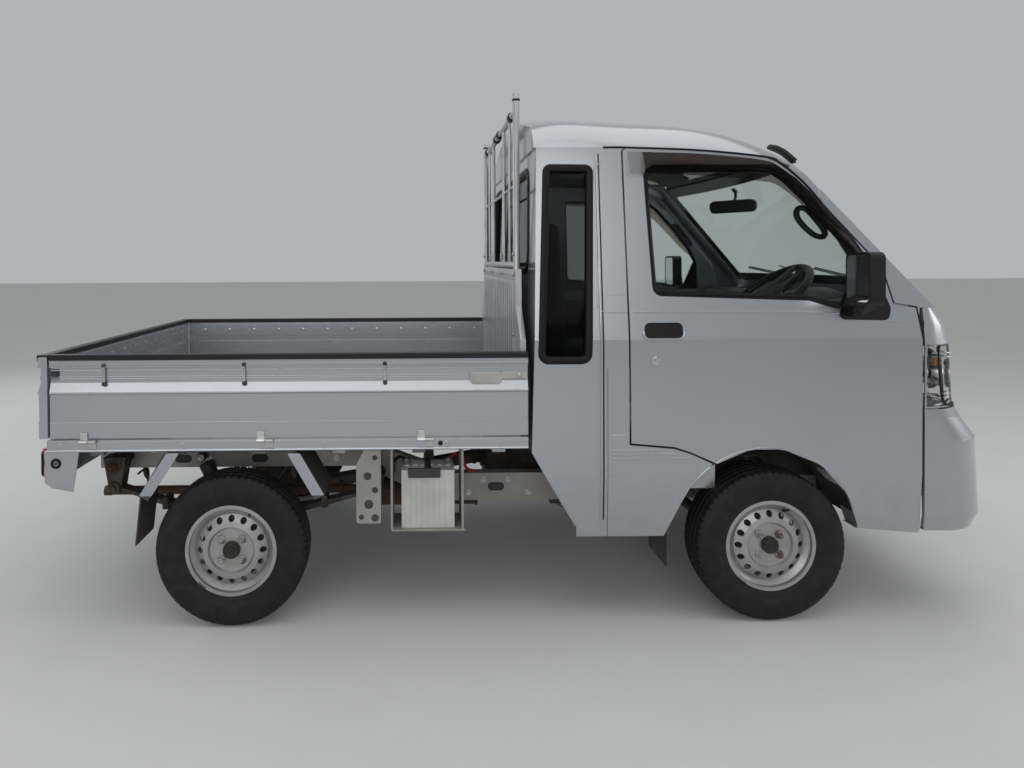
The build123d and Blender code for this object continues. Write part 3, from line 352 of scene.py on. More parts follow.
def on_screen(y, z, lift=0.0):
    """A point on the windscreen's surface, raised off it."""
    middle = SCREEN_TOP[0] - (z - SCREEN_TOP[1]) * SCREEN_SLOPE
    bow = SCREEN_RADIUS - sqrt(SCREEN_RADIUS**2 - y * y)
    return Vector((middle - bow + lift * 0.73, y * (1 + lift * 0.2), z + lift * 0.68))


def on_back(y, z, lift=0.0):
    """A point on the back wall, raised off it to the rear."""
    return Vector((BACK_WALL[0] + (z - BACK_WALL[1]) * BACK_WALL[2] - lift, y, z))


def plane(origin, right, up):
    """Matrix that takes flat coordinates to a plane; its third axis is right x up."""
    right, up = Vector(right).normalized(), Vector(up).normalized()
    turn = Matrix((right, up, right.cross(up))).transposed()
    return Matrix.Translation(origin) @ turn.to_4x4()


# Ways for a plane to face, each as its right and its up
FORWARD = ((0, 1, 0), (0, 0, 1))
REARWARD = ((0, -1, 0), (0, 0, 1))
RIGHTWARD = ((1, 0, 0), (0, 0, 1))
LEFTWARD = ((-1, 0, 0), (0, 0, 1))
UPWARD = ((1, 0, 0), (0, 1, 0))
DOWNWARD = ((1, 0, 0), (0, -1, 0))


def facing_right(y):
    return plane((0, y, 0), *RIGHTWARD)


def facing_front(x):
    return plane((x, 0, 0), *FORWARD)


def facing_up(z):
    return plane((0, 0, z), *UPWARD)


def at(frame, x, y, z=0):
    """The same plane with its origin moved along its own axes."""
    return frame @ Matrix.Translation((x, y, z))


def rect(left, low, right, high):
    return [(left, low), (right, low), (right, high), (left, high)]


def side_line(points, lift=0.0):
    """Points on the right cab side, from pairs of X and Z."""
    return [on_side(x, z, lift) for x, z in points]


def turned(*profile):
    """A lathe profile that starts and ends on the axis."""
    return [(0, profile[0][1]), *profile, (0, profile[-1][1])]


def at_x(x, *points):
    """Points with the same X, from pairs of Y and Z."""
    return [(x, y, z) for y, z in points]


def at_y(y, *points):
    """Points with the same Y, from pairs of X and Z."""
    return [(x, y, z) for x, z in points]


def round_corners(corners, radii, steps=5):
    """Flat outline with rounded corners; radii is one number or one for each corner."""
    count = len(corners)
    if not hasattr(radii, "__len__"):
        radii = [radii] * count
    points = []
    for index, (corner, radius) in enumerate(zip(corners, radii)):
        here = Vector(corner)
        if radius <= 0:
            points.append(here)
            continue
        before = (Vector(corners[index - 1]) - here).normalized()
        after = (Vector(corners[(index + 1) % count]) - here).normalized()
        half_angle = before.angle(after) / 2
        reach = radius / max(sin(half_angle) / cos(half_angle), 1e-4)
        middle = here + (before + after).normalized() * (radius / sin(half_angle))
        start, end = here + before * reach - middle, here + after * reach - middle
        for step in range(steps + 1):
            points.append(middle + start.slerp(end, step / steps, end) * radius)
    return points


def smooth_line(points, steps=6, closed=False):
    """Points along a smooth line through the given ones."""
    points = [Vector(p) for p in points]
    count = len(points)
    line = []
    spans = count if closed else count - 1
    for index in range(spans):
        if closed:
            a, b, c, d = (points[(index + k) % count] for k in (-1, 0, 1, 2))
        else:
            b, c = points[index], points[index + 1]
            a = points[index - 1] if index else b * 2 - c
            d = points[index + 2] if index + 2 < count else c * 2 - b
        for step in range(steps):
            t = step / steps
            line.append(0.5 * (2 * b + (c - a) * t + (2 * a - 5 * b + 4 * c - d) * t * t +
                (3 * b - a - 3 * c + d) * t**3))
    if not closed:
        line.append(points[-1])
    return line


def grown(outline, amount):
    """A flat closed outline moved outwards."""
    area = sum(a.x * b.y - b.x * a.y for a, b in zip(outline, outline[1:] + outline[:1]))
    sign = 1 if area > 0 else -1
    moved = []
    for index, here in enumerate(outline):
        along = (outline[(index + 1) % len(outline)] - outline[index - 1]).normalized()
        moved.append(here + Vector((along.y, -along.x)) * amount * sign)
    return moved


JOINED = 1e-6  # corners nearer than this become one
SHARP = 0.7  # edges that turn by more than this angle are rounded


class Form:
    """Closed shapes collected in one mesh."""

    def __init__(self):
        self.mesh = bmesh.new()

    def take(self, part, frame=None):
        if frame is not None:
            bmesh.ops.transform(part, matrix=frame, verts=part.verts)
        bmesh.ops.recalc_face_normals(part, faces=part.faces)
        holder = bpy.data.meshes.new("part")
        part.to_mesh(holder)
        part.free()
        self.mesh.from_mesh(holder)
        bpy.data.meshes.remove(holder)
        return self

    def loops(self, rows, closed_rows=True, caps=True, frame=None, closed_ends=False):
        """Skins a list of rings; caps close the first and the last."""
        part = bmesh.new()
        rings = [[part.verts.new(point) for point in row] for row in rows]
        size = len(rings[0])
        pairs = list(zip(rings, rings[1:]))
        if closed_ends:
            pairs.append((rings[-1], rings[0]))
        for first, second in pairs:
            for index in range(size if closed_rows else size - 1):
                after = (index + 1) % size
                part.faces.new((first[index], first[after], second[after], second[index]))
        if caps and not closed_ends:
            part.faces.new(reversed(rings[0]))
            part.faces.new(rings[-1])
        bmesh.ops.remove_doubles(part, verts=part.verts, dist=JOINED)
        return self.take(part, frame)

    def slab(self, frame, corners, depth, radii=0.0, bevel=0.001, steps=2, start=0.0):
        """A plate with a flat outline, raised by a depth, its edges rounded."""
        outline = round_corners(corners, radii)
        part = bmesh.new()
        low = [part.verts.new((point[0], point[1], start)) for point in outline]
        high = [part.verts.new((point[0], point[1], start + depth)) for point in outline]
        part.faces.new(reversed(low))
        part.faces.new(high)
        for index in range(len(low)):
            after = (index + 1) % len(low)
            part.faces.new((low[index], low[after], high[after], high[index]))
        bmesh.ops.remove_doubles(part, verts=part.verts, dist=JOINED)
        bmesh.ops.recalc_face_normals(part, faces=part.faces)
        if bevel:
            rim = [edge for edge in part.edges if edge.calc_face_angle(0.0) > SHARP]
            bmesh.ops.bevel(part, geom=rim, offset=bevel, segments=steps, profile=0.5,
                affect="EDGES", clamp_overlap=True)
        return self.take(part, frame)

    def box(self, low, high, radius=0.002, steps=2):
        """A block with rounded edges."""
        return self.slab(facing_up(low[2]), rect(low[0], low[1], high[0], high[1]),
            high[2] - low[2], 0.0, radius, steps)

    def lathe(self, frame, profile, segments=40):
        """Turns a profile of (radius, height) round the frame's third axis."""
        rows = []
        for step in range(segments):
            angle = 2 * pi * step / segments
            rows.append([(r * cos(angle), r * sin(angle), h) for r, h in profile])
        return self.loops(rows, closed_rows=profile[0][0] > JOINED, caps=False, frame=frame,
            closed_ends=True)

    def tube(self, points, radius, sides=10, closed=False, steps=6, flat=1.0):
        """A round bar or hose along a smooth line; flat squeezes it in one direction."""
        line = smooth_line(points, steps, closed) if steps else [Vector(p) for p in points]
        count = len(line)
        rows = []
        up = Vector((0, 0, 1))
        for index, here in enumerate(line):
            if closed:
                along = line[(index + 1) % count] - line[index - 1]
            else:
                along = line[min(index + 1, count - 1)] - line[max(index - 1, 0)]
            along.normalize()
            if index == 0 and abs(along.z) > 0.9:
                up = Vector((1, 0, 0))
            across_line = along.cross(up).normalized()
            up = across_line.cross(along).normalized()
            size = radius[index * len(radius) // count] if hasattr(radius, "__len__") else radius
            rows.append([here + across_line * cos(2 * pi * k / sides) * size + up *
                sin(2 * pi * k / sides) * size * flat for k in range(sides)])
        return self.loops(rows, closed_ends=closed)

    def bolt(self, frame, radius=0.006, height=0.005, washer=True):
        """A hexagon head on its washer."""
        corners = [(radius * cos(pi * k / 3), radius * sin(pi * k / 3)) for k in range(6)]
        self.slab(frame, corners, height, 0.0, radius * 0.12, 1, 0.0)
        if washer:
            size = radius * 1.5
            self.lathe(frame, turned((size, 0), (size, radius * 0.2), (size * 0.9, radius * 0.3)),
                20)
        return self

    def band(self, outline, surface, section):
        """A trim that runs round a closed outline on a surface; section holds (outward, height)."""
        rings = [[surface(point.x, point.y, height) for point in grown(outline, outward)]
            for outward, height in section]
        return self.loops(rings, closed_ends=True)

    def plate(self, outline, surface, low, high, inset=0.002):
        """A plate that lies on a surface, with a rounded rim."""
        rows = [(0.0, low), (0.0, high - inset), (-inset * 0.3, high - inset * 0.3), (-inset, high)]
        rings = [[surface(point.x, point.y, height) for point in grown(outline, out)]
            for out, height in rows]
        return self.loops(rings)

    def skin(self, outline, surface, thickness, creases):
        """A shell panel with a flat outline in X and Z that follows a curved side."""
        part = bmesh.new()
        part.faces.new([part.verts.new((point[0], 0.0, point[1])) for point in outline])
        for height in creases:
            everything = part.verts[:] + part.edges[:] + part.faces[:]
            bmesh.ops.bisect_plane(part, geom=everything, plane_co=(0, 0, height),
                plane_no=(0, 0, 1))
        inner = bmesh.ops.extrude_face_region(part, geom=part.faces[:])["geom"]
        inner = {item for item in inner if isinstance(item, bmesh.types.BMVert)}
        for vert in part.verts:
            lift = -thickness if vert in inner else 0.0
            vert.co = surface(vert.co.x, vert.co.z, lift)
        bmesh.ops.recalc_face_normals(part, faces=part.faces)
        rim = [edge for edge in part.edges if edge.calc_face_angle(0.0) > SHARP]
        bmesh.ops.bevel(part, geom=rim, offset=0.0015, segments=2, profile=0.5, affect="EDGES",
            clamp_overlap=True)
        return self.take(part)

    def mirrored(self):
        """The same form on the other side of the truck."""
        other = Form()
        other.mesh = self.mesh.copy()
        bmesh.ops.scale(other.mesh, vec=(1, -1, 1), verts=other.mesh.verts)
        bmesh.ops.reverse_faces(other.mesh, faces=other.mesh.faces)
        return other

    def finish(self, name, finish, body="truck", angle=35.0):
        """Turns the form into a piece that rides on a body."""
        mesh = bpy.data.meshes.new(name)
        self.mesh.to_mesh(mesh)
        self.mesh.free()
        mesh.shade_smooth()
        mesh.set_sharp_from_angle(angle=radians(angle))
        mesh.materials.append(finishes[finish])
        piece = bpy.data.objects.new(name, mesh)
        bpy.context.scene.collection.objects.link(piece)
        # Flat faces keep their own direction, so that light turns only on the rounded edges
        weighted = piece.modifiers.new("normals", "WEIGHTED_NORMAL")
        weighted.weight = 90
        weighted.keep_sharp = True
        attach(piece, body)
        return piece

    def pair(self, name, finish, bodies=("truck", "truck"), angle=35.0):
        """The piece on the right and its mirror image on the left."""
        other = self.mirrored()
        self.finish(f"{name}_right", finish, bodies[0], angle)
        other.finish(f"{name}_left", finish, bodies[1], angle)


DOORS = ("door_right", "door_left")
GATES = ("gate_right", "gate_left")

# Wheels: tyres with tread blocks, nuts, centre caps and valves
TYRE_RADIUS = 0.266
FRONT_AXLE, REAR_AXLE = 0.866, -1.034
WHEELS = (
    # name, axle X, side, distance of the wheel's middle from the truck's
    ("front_left", FRONT_AXLE, 1, 0.6525),
    ("front_right", FRONT_AXLE, -1, 0.6525),
    ("rear_left", REAR_AXLE, 1, 0.65),
    ("rear_right", REAR_AXLE, -1, 0.65),
)
TYRE_WALL = (
    # distance out from the wheel's middle plane, radius
    (0.0530, 0.1550),
    (0.0575, 0.1580),
    (0.0600, 0.1665),
    (0.0625, 0.1715),
    (0.0648, 0.1735),
    (0.0640, 0.1770),
    (0.0690, 0.1900),
    (0.0698, 0.1925),
    (0.0718, 0.2050),
    (0.0724, 0.2150),
    (0.0722, 0.2260),
    (0.0716, 0.2270),
    (0.0716, 0.2290),
    (0.0702, 0.2380),
    (0.0680, 0.2460),
    (0.0650, 0.2530),
    (0.0610, 0.2590),
)
TREAD_GROOVES = (0.0125, 0.0375)
GROOVE_HALF = 0.0032
GROOVE_DEPTH = 0.0065
TREAD_HALF = 0.058
PITCHES = 66
# Where round one pitch the tread is sampled, and how deep it is cut there
PITCH_STEPS = ((0.0, 0.0), (0.42, 0.0), (0.82, 0.0), (0.86, 1.0), (0.96, 1.0))


def tread_height(y):
    return TYRE_RADIUS - 0.0045 * (y / TREAD_HALF) ** 4


def tyre_profile():
    """Points across the tyre: (offset, radius, how much the cross cuts act there)."""
    half = []
    spots = [0.0]
    for groove in TREAD_GROOVES:
        spots += [groove - GROOVE_HALF - 0.0008, groove - GROOVE_HALF + 0.0008]
        spots += [groove + GROOVE_HALF - 0.0008, groove + GROOVE_HALF + 0.0008]
        spots += [groove + 0.011]
    spots += [0.0545, TREAD_HALF]
    for y in sorted(set(spots)):
        in_groove = any(abs(y - groove) < GROOVE_HALF for groove in TREAD_GROOVES)
        depth = GROOVE_DEPTH if in_groove else 0.0
        cut = 0.0 if y < 0.01 or in_groove else (0.55 if y < 0.035 else 1.0)
        half.append((y, tread_height(y) - depth, cut))
    wall = [(y, radius, 0.5 if radius > 0.252 else 0.0) for y, radius in reversed(TYRE_WALL)]
    outer = half + wall
    inner = [(-y, radius, cut) for y, radius, cut in reversed(outer) if y > 0]
    inside = [(0.046, 0.16, 0.0), (0.06, 0.2, 0.0), (0.05, 0.245, 0.0), (0.0, 0.252, 0.0)]
    inside += [(-0.05, 0.245, 0.0), (-0.06, 0.2, 0.0), (-0.046, 0.16, 0.0)]
    return inner + outer + inside


def tyre(name, x, side, middle):
    profile = tyre_profile()
    rows = []
    for pitch in range(PITCHES):
        for share, cut in PITCH_STEPS:
            row = []
            for offset, radius, reach in profile:
                skew = 0.35 * abs(offset) / TREAD_HALF
                angle = 2 * pi * (pitch + share + skew) / PITCHES
                depth = radius - GROOVE_DEPTH * 0.8 * cut * reach
                row.append((x + depth * cos(angle), side * (middle + offset),
                    TYRE_RADIUS + depth * sin(angle)))
            rows.append(row)
    form = Form().loops(rows, closed_ends=True)
    piece = form.finish(f"tyre_{name}_tread", "tyre", f"wheel_{name}", 40.0)
    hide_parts(f"tyre_{name}")


for name, x, side, middle in WHEELS:
    body = f"wheel_{name}"
    tyre(name, x, side, middle)
    face = side * (middle + 0.0455)
    hub = plane((x, face, TYRE_RADIUS), (-side, 0, 0), (0, 0, 1))
    nuts = Form()
    for turn in range(4):
        angle = pi / 4 + turn * pi / 2
        spot = at(hub, 0.05 * cos(angle), 0.05 * sin(angle))
        nuts.lathe(spot, turned((0.0155, 0.0), (0.0135, 0.005), (0.0105, 0.006)), 24)
        corners = [(0.0105 * cos(pi * k / 3 + 0.3), 0.0105 * sin(pi * k / 3 + 0.3))
            for k in range(6)]
        nuts.slab(spot, corners, 0.011, 0.0, 0.0013, 2, 0.005)
        nuts.lathe(spot, turned((0.0058, 0.015), (0.0058, 0.021), (0.0045, 0.0225)), 16)
    nuts.finish(f"wheel_nuts_{name}", "nut_steel", body)
    Form().lathe(hub, [(0.0, 0.0), (0.0275, 0.0), (0.0275, 0.012), (0.0255, 0.016),
        (0.0215, 0.0175), (0.0205, 0.0165), (0.015, 0.016), (0.014, 0.018), (0.0, 0.019)],
        36).finish(f"hub_cap_{name}", "black_plastic", body)
    # Valve through the rim, and a balance weight on its flange
    valve = Form()
    valve_angle = 1.1
    stem = [0.128, 0.134, 0.141]
    stem_y = [0.03, 0.044, 0.056]
    valve.tube([(x + r * cos(valve_angle), side * (middle + y), TYRE_RADIUS + r * sin(valve_angle))
        for r, y in zip(stem, stem_y)], 0.0038)
    valve.finish(f"valve_{name}", "seal_rubber", body)
    weight = Form()
    arc = [(x + 0.157 * cos(a), side * (middle + 0.0585), TYRE_RADIUS + 0.157 * sin(a))
        for a in (3.9, 3.97, 4.04, 4.11)]
    weight.tube(arc, 0.0042, flat=0.6)
    weight.finish(f"balance_weight_{name}", "nut_steel", body)

# Lower side panel between the pillar and the front wheel arch, which the solids leave open
ARCH_CENTRE = (0.8365, 0.288)
ARCH_RADIUS = 0.332


def arch_point(degrees):
    angle = radians(degrees)
    return (ARCH_CENTRE[0] + ARCH_RADIUS * cos(angle), ARCH_CENTRE[1] + ARCH_RADIUS * sin(angle))


PANEL_FOOT = 0.312
panel = [(0.2825, PANEL_FOOT), (0.2825, 0.901), (0.3575, 0.901), (0.3575, 0.636), (0.362, 0.6335),
    (0.514, 0.6195)]
panel += [(0.571, 0.601), (0.6475, 0.5665)]
panel += [arch_point(a) for a in (126, 129, 132, 136, 140, 144)]
panel += [(0.4815, PANEL_FOOT)]
Form().skin(panel, on_side, 0.028, (0.52,)).pair("side_panel", "paint")
# Sill flange under it and the inner pillar behind the door's rear edge
inner_sill = Form()
inner_sill.box((0.286, -0.722, 0.309), (0.484, -0.655, 0.318), 0.003)
inner_sill.box((0.284, -0.708, 0.33), (0.3, -0.655, 0.9), 0.003)
inner_sill.box((0.3, -0.662, 0.455), (0.69, -0.654, 0.615), 0.003)
inner_sill.pair("inner_sill", "paint")
# Pressed lines below the door's rear corner
lines = Form()
for z, end in ((0.668, 0.35), (0.655, 0.35), (0.6155, 0.47), (0.601, 0.525), (0.5865, 0.565)):
    lines.tube([on_side(0.292, z, -0.0012), on_side((0.292 + end) / 2, z, -0.0012),
        on_side(end, z, -0.0012)], 0.003)
lines.pair("pressed_lines", "paint")

# Window openings, as in the CAD: corner points and radii, X and Z or Y and Z
DOOR_WINDOW = ((0.434, 1.6, 0.024), (0.454, 1.16, 0.026), (0.994, 1.141, 0.06), (1.09, 1.112, 0.06),
    (1.186, 1.118, 0.018), (1.176, 1.262, 0.05), (1.13, 1.345, 0.0), (1.04, 1.455, 0.0),
    (0.945, 1.555, 0.04), (0.885, 1.598, 0.04))
QUARTER = ((0.082, 1.606, 0.016), (0.236, 1.604, 0.016), (0.215, 0.93, 0.024), (0.052, 0.93, 0.024))
SCREEN = ((-0.612, 1.168, 0.05), (0.612, 1.168, 0.05), (0.548, 1.672, 0.07), (-0.548, 1.672, 0.07))
REAR_WINDOW = ((-0.56, 1.24, 0.06), (0.56, 1.24, 0.06), (0.51, 1.62, 0.06), (-0.51, 1.62, 0.06))


SPACING = 0.05


def opening(table):
    """A rounded outline, with points added along its straight runs."""
    outline = round_corners([(x, z) for x, z, r in table], [r for x, z, r in table], 6)
    dense = []
    for here, after in zip(outline, outline[1:] + outline[:1]):
        parts = max(int((after - here).length / SPACING), 1)
        dense += [here.lerp(after, k / parts) for k in range(parts)]
    return dense


door_opening = opening(DOOR_WINDOW)
quarter_opening = opening(QUARTER)
screen_opening = opening(SCREEN)
rear_opening = opening(REAR_WINDOW)

# Sections of the seals, as distance outwards from the opening's edge and height off the surface
THIN_SEAL = ((-0.01, -0.016), (-0.01, -0.012), (-0.004, -0.004), (0.0, 0.0016), (0.006, 0.003),
    (0.009, 0.0014), (0.009, -0.001), (0.0, -0.003), (-0.006, -0.016))
THICK_SEAL = ((-0.014, -0.012), (-0.014, -0.004), (-0.011, 0.0015), (-0.004, 0.0055),
    (0.005, 0.006), (0.011, 0.0035), (0.0135, 0.0), (0.013, -0.0015), (0.0, -0.002),
    (-0.002, -0.012))
SCREEN_SEAL = ((-0.014, -0.008), (-0.013, -0.001), (-0.006, 0.0035), (0.006, 0.004), (0.012, 0.002),
    (0.013, -0.0015), (0.0, -0.003), (-0.004, -0.008))
Form().band(door_opening, on_side, THIN_SEAL).pair("window_seal", "seal_rubber", DOORS)
Form().band(quarter_opening, on_side, THICK_SEAL).pair("quarter_seal", "seal_rubber")
Form().band(screen_opening, on_screen, SCREEN_SEAL).finish("windscreen_seal", "seal_rubber")
Form().band(rear_opening, on_back, THICK_SEAL).finish("rear_window_seal", "seal_rubber")

# Black printed border inside the windscreen, just behind the glass
FRIT = ((-0.052, -0.0195), (-0.052, -0.0187), (-0.01, -0.0187), (-0.01, -0.0195))
Form().band(screen_opening, on_screen, FRIT).finish("windscreen_border", "sash_black")

# Black sash along the window's front and top, out to the door's silver frame
sash_inner = [(0.452, 1.6), (0.885, 1.598), (0.945, 1.555), (1.04, 1.455), (1.13, 1.345),
    (1.176, 1.262), (1.186, 1.19)]
sash_outer = [(1.226, 1.19), (1.216, 1.268), (1.16, 1.356), (1.07, 1.466), (0.972, 1.566),
    (0.898, 1.616), (0.452, 1.616)]
sash = Form()
sash.plate([Vector(p) for p in sash_inner + sash_outer], on_side, -0.001, 0.0022)
# Sail plate in the window's front corner, under the mirror
sail = round_corners([(1.085, 1.066), (1.268, 1.062), (1.278, 1.105), (1.222, 1.262), (1.168, 1.27),
    (1.122, 1.15)], [0.02, 0.022, 0.03, 0.02, 0.02, 0.05])
sash.plate(sail, on_side, -0.012, 0.0035)
sash.pair("window_sash", "sash_black", DOORS)

# Rubber wiper strip along the foot of the glass
strip = Form()
for lift, drop in ((0.0015, 0.0), (-0.021, 0.002)):
    strip.tube([on_side(x, z - drop + 0.004, lift)
        for x, z in ((0.47, 1.157), (0.7, 1.15), (0.985, 1.142))], 0.004)
strip.pair("waist_seal", "seal_rubber", DOORS)

# Smoked rain visor over the window: its top edge on the door, its lip standing out
VISOR = (
    # X, Z of the top edge, drop, lean forward of the lip
    (0.425, 1.662, 0.080, 0.000),
    (0.640, 1.654, 0.082, 0.000),
    (0.850, 1.632, 0.080, -0.010),
    (0.915, 1.606, 0.066, -0.026),
    (0.985, 1.547, 0.046, -0.040),
    (1.075, 1.441, 0.030, -0.040),
    (1.140, 1.362, 0.022, -0.036),
    (1.188, 1.300, 0.012, -0.020),
)

# Across the visor: share of the way down, lift off the side
VISOR_SECTION = ((0.0, 0.002), (0.18, 0.011), (0.5, 0.019), (0.85, 0.023), (1.0, 0.024))


def visor_share(drop):
    """How much of its full lift the visor has where it hangs down by this much."""
    return 0.45 + 0.55 * min(drop / 0.08, 1.0)


def visor_rows(table, thickness):
    rows = []
    for x, z, drop, lean in table:
        outer = [(x + lean * down, z - drop * down, lift * visor_share(drop))
            for down, lift in VISOR_SECTION]
        rows.append([on_side(*spot) for spot in outer] +
            [on_side(x, z, lift - thickness) for x, z, lift in reversed(outer)])
    return rows


def smooth_table(table, steps=4):
    """Rows of numbers with smooth rows put in between."""
    lines = []
    for row, after, before, later in zip(table, table[1:], table[:1] + table[:-2],
            table[2:] + table[-1:]):
        for step in range(steps):
            t = step / steps
            lines.append(tuple(0.5 * (2 * b + (c - a) * t + (2 * a - 5 * b + 4 * c - d) * t * t +
                (3 * b - a - 3 * c + d) * t**3) for a, b, c, d in zip(before, row, after, later)))
    lines.append(table[-1])
    return lines


Form().loops(visor_rows(smooth_table(VISOR), 0.0022)).pair("rain_visor", "smoked", DOORS, 50.0)
VISOR_END = ((0.372, 1.664, 0.082, 0.0), (0.4, 1.663, 0.082, 0.0), (0.4245, 1.662, 0.08, 0.0))
Form().loops(visor_rows(VISOR_END, 0.0026)).pair("visor_end", "clear_block", DOORS, 50.0)
ridge = Form()
ridge_line = [on_side(x + lean * 0.5, z - drop * 0.5, 0.0195 * visor_share(drop))
    for x, z, drop, lean in smooth_table(VISOR)[1:-3]]
ridge.tube(ridge_line, 0.0022, steps=0, sides=6)
ridge.pair("visor_ridge", "smoked", DOORS, 50.0)

# Pull handle: black lining of the recess, its bright lower lip, and the lock
handle = Form()
corners = rect(0.4105, 1.005, 0.5455, 1.059)
handle.plate(round_corners(corners, 0.02, 8), on_side, -0.004, 0.0012, 0.0016)
handle.pair("handle_lining", "sash_black", DOORS)
flap = Form()
corners = rect(0.42, 1.024, 0.536, 1.0545)
flap.plate(round_corners(corners, 0.01, 6), on_side, -0.002, 0.0042, 0.002)
flap.pair("handle_flap", "sash_black", DOORS)
lip = Form()
lip_line = round_corners([(0.407, 1.03), (0.407, 1.001), (0.549, 1.001), (0.549, 1.03)],
    [0, 0.021, 0.021, 0], 8)
lip.tube([on_side(p[0], p[1], 0.0006) for p in lip_line], 0.0052, steps=0)
lip.pair("handle_lip", "paint", DOORS)
lock = Form()
spot = at(facing_right(-HALF_WIDTH - 0.0024), 0.4495, 0.926)
lock.lathe(spot, [(0, 0), (0.0145, -0.002), (0.015, 0.0), (0.0135, 0.0016), (0.0095, 0.0018),
    (0.0088, 0.0008), (0.0, 0.0008)], 36)
lock.slab(spot, rect(-0.0045, -0.0012, 0.0045, 0.0012), 0.0012, 0.0, 0.0003)
lock.pair("door_lock", "chrome", DOORS)

# Mirrors: glass in its frame, joint collar on the arm
glass_face = Form()
corners = rect(-0.905, 1.132, -0.785, 1.292)
glass_frame = plane((1.0868, 0, 0), *REARWARD)
glass_face.slab(glass_frame, [(-y, z) for y, z in corners], 0.0025, 0.022, 0.0008)
glass_face.pair("mirror_glass", "mirror_glass", DOORS)
rim = Form()
rim_line = round_corners([(y, z) for y, z in corners], 0.024, 8)
rim.tube([(1.0855, p[0], p[1]) for p in rim_line], 0.0032, steps=0, closed=True)
collar_line = [(1.133, -0.775, 1.094), (1.133, -0.789, 1.116), (1.133, -0.802, 1.14)]
rim.tube(collar_line, [0.019, 0.021, 0.021, 0.018], sides=16)
rim.pair("mirror_rim", "black_plastic", DOORS)

# Painted shadow along the gutter line: a black tube stands in for the shadow gap between roof and
# door. Then the pressed pillar line ahead of the quarter window
gutter = [(0.286, 1.6785), (0.368, 1.678), (0.634, 1.667), (0.864, 1.643), (0.918, 1.62),
    (0.996, 1.552), (1.056, 1.478)]
Form().tube(side_line(gutter, 0.0015), 0.0036).pair("gutter_shadow_line", "seal_rubber")
bead = Form()
pillar = [(0.262, 1.618), (0.2635, 1.59), (0.2635, 1.5), (0.258, 1.3), (0.252, 1.14),
    (0.256, 1.108), (0.2755, 1.096)]
bead.tube(side_line(pillar, -0.0012), 0.0034)
bead.tube(side_line(((0.262, 1.618), (0.2775, 1.6215)), -0.001), 0.0034)
bead.tube(side_line(((0.286, 1.095), (0.32, 1.095), (0.354, 1.095)), -0.0012), 0.0034)
bead.tube(side_line(((0.286, 1.156), (0.32, 1.156), (0.354, 1.156)), -0.0012), 0.0022)
bead.pair("pillar_bead", "paint")
Form().tube(side_line(((0.372, 1.095), (0.7, 1.0945), (1.06, 1.09), (1.25, 1.064), (1.33, 1.058)),
    -0.0016), 0.0044).pair("door_swage", "paint", DOORS)

# Sill lip, arch lip and drip edge along the bottom of the cab side
lips = Form()
lips.tube(side_line(((0.176, 0.3415), (0.279, 0.3395)), -0.004), 0.0042)
lips.tube(side_line(((0.284, 0.339), (0.478, 0.3355)), -0.004), 0.0042)
lips.tube(side_line(((0.0225, 0.606), (0.07, 0.522), (0.12, 0.4375), (0.17, 0.3535)), -0.001),
    0.0036)
lips.pair("sill_lip", "paint")


def arch_line(first, last, steps):
    """Points round the front wheel arch, between two angles."""
    return side_line([arch_point(first + (last - first) * step / steps)
        for step in range(steps + 1)], -0.0015)


Form().tube(arch_line(8.5, 122.0, 28), 0.0034, steps=0).pair("door_arch_lip", "paint", DOORS)
cab_lip = Form().tube(arch_line(126.5, 143.5, 6), 0.0034, steps=0)
cab_lip.tube(side_line(((0.568, 0.4855), (0.525, 0.41), (0.4835, 0.337)), -0.0015), 0.0034)
cab_lip.pair("cab_arch_lip", "paint")

# Windscreen wipers, washer jets and the cowl under the screen
OFF_SCREEN = ((0, 1, 0), (-0.68, 0, 0.73))
wipers = Form()
for pivot_y, tip_y, blade in ((-0.53, -0.02, 0.26), (0.02, 0.47, 0.25)):
    pivot = on_screen(pivot_y, 1.15, 0.012)
    middle_y = (pivot_y + tip_y) / 2
    tip = on_screen(middle_y + 0.02, 1.232, 0.024)
    wipers.tube([pivot, pivot.lerp(tip, 0.25) + Vector((0.01, 0, 0.012)), tip],
        [0.007, 0.006, 0.005, 0.0045], flat=0.6)
    wipers.lathe(plane(on_screen(pivot_y, 1.15, -0.002), *OFF_SCREEN),
        [(0, 0), (0.017, 0), (0.016, 0.012), (0.011, 0.02), (0, 0.021)], 24)
    run = [on_screen(middle_y + blade * k, 1.196 + 0.03 * abs(k), 0.008) for k in (-1, 0, 1)]
    run[0].z -= 0.016
    run[2].z += 0.004
    wipers.tube(run, 0.0042, flat=0.8)
    wipers.tube([p + Vector((0.006, 0, 0.006)) for p in run], 0.003)
wipers.finish("wipers", "black_plastic")
cowl = Form()
cowl.plate(opening(((-0.6, 1.118, 0.012), (0.6, 1.118, 0.012), (0.596, 1.158, 0.012),
    (-0.596, 1.158, 0.012))), on_screen, -0.002, 0.004)
for index in range(36):
    y = -0.56 + index * 0.032
    rib = [on_screen(y, z, 0.0048) for z in (1.124, 1.138, 1.152)]
    cowl.tube(rib, 0.0016, sides=6)
for y in (-0.28, 0.28):
    cowl.lathe(plane(on_screen(y, 1.132, 0.002), *OFF_SCREEN),
        turned((0.01, 0), (0.009, 0.007), (0.004, 0.01)), 16)
cowl.finish("cowl_panel", "black_plastic")

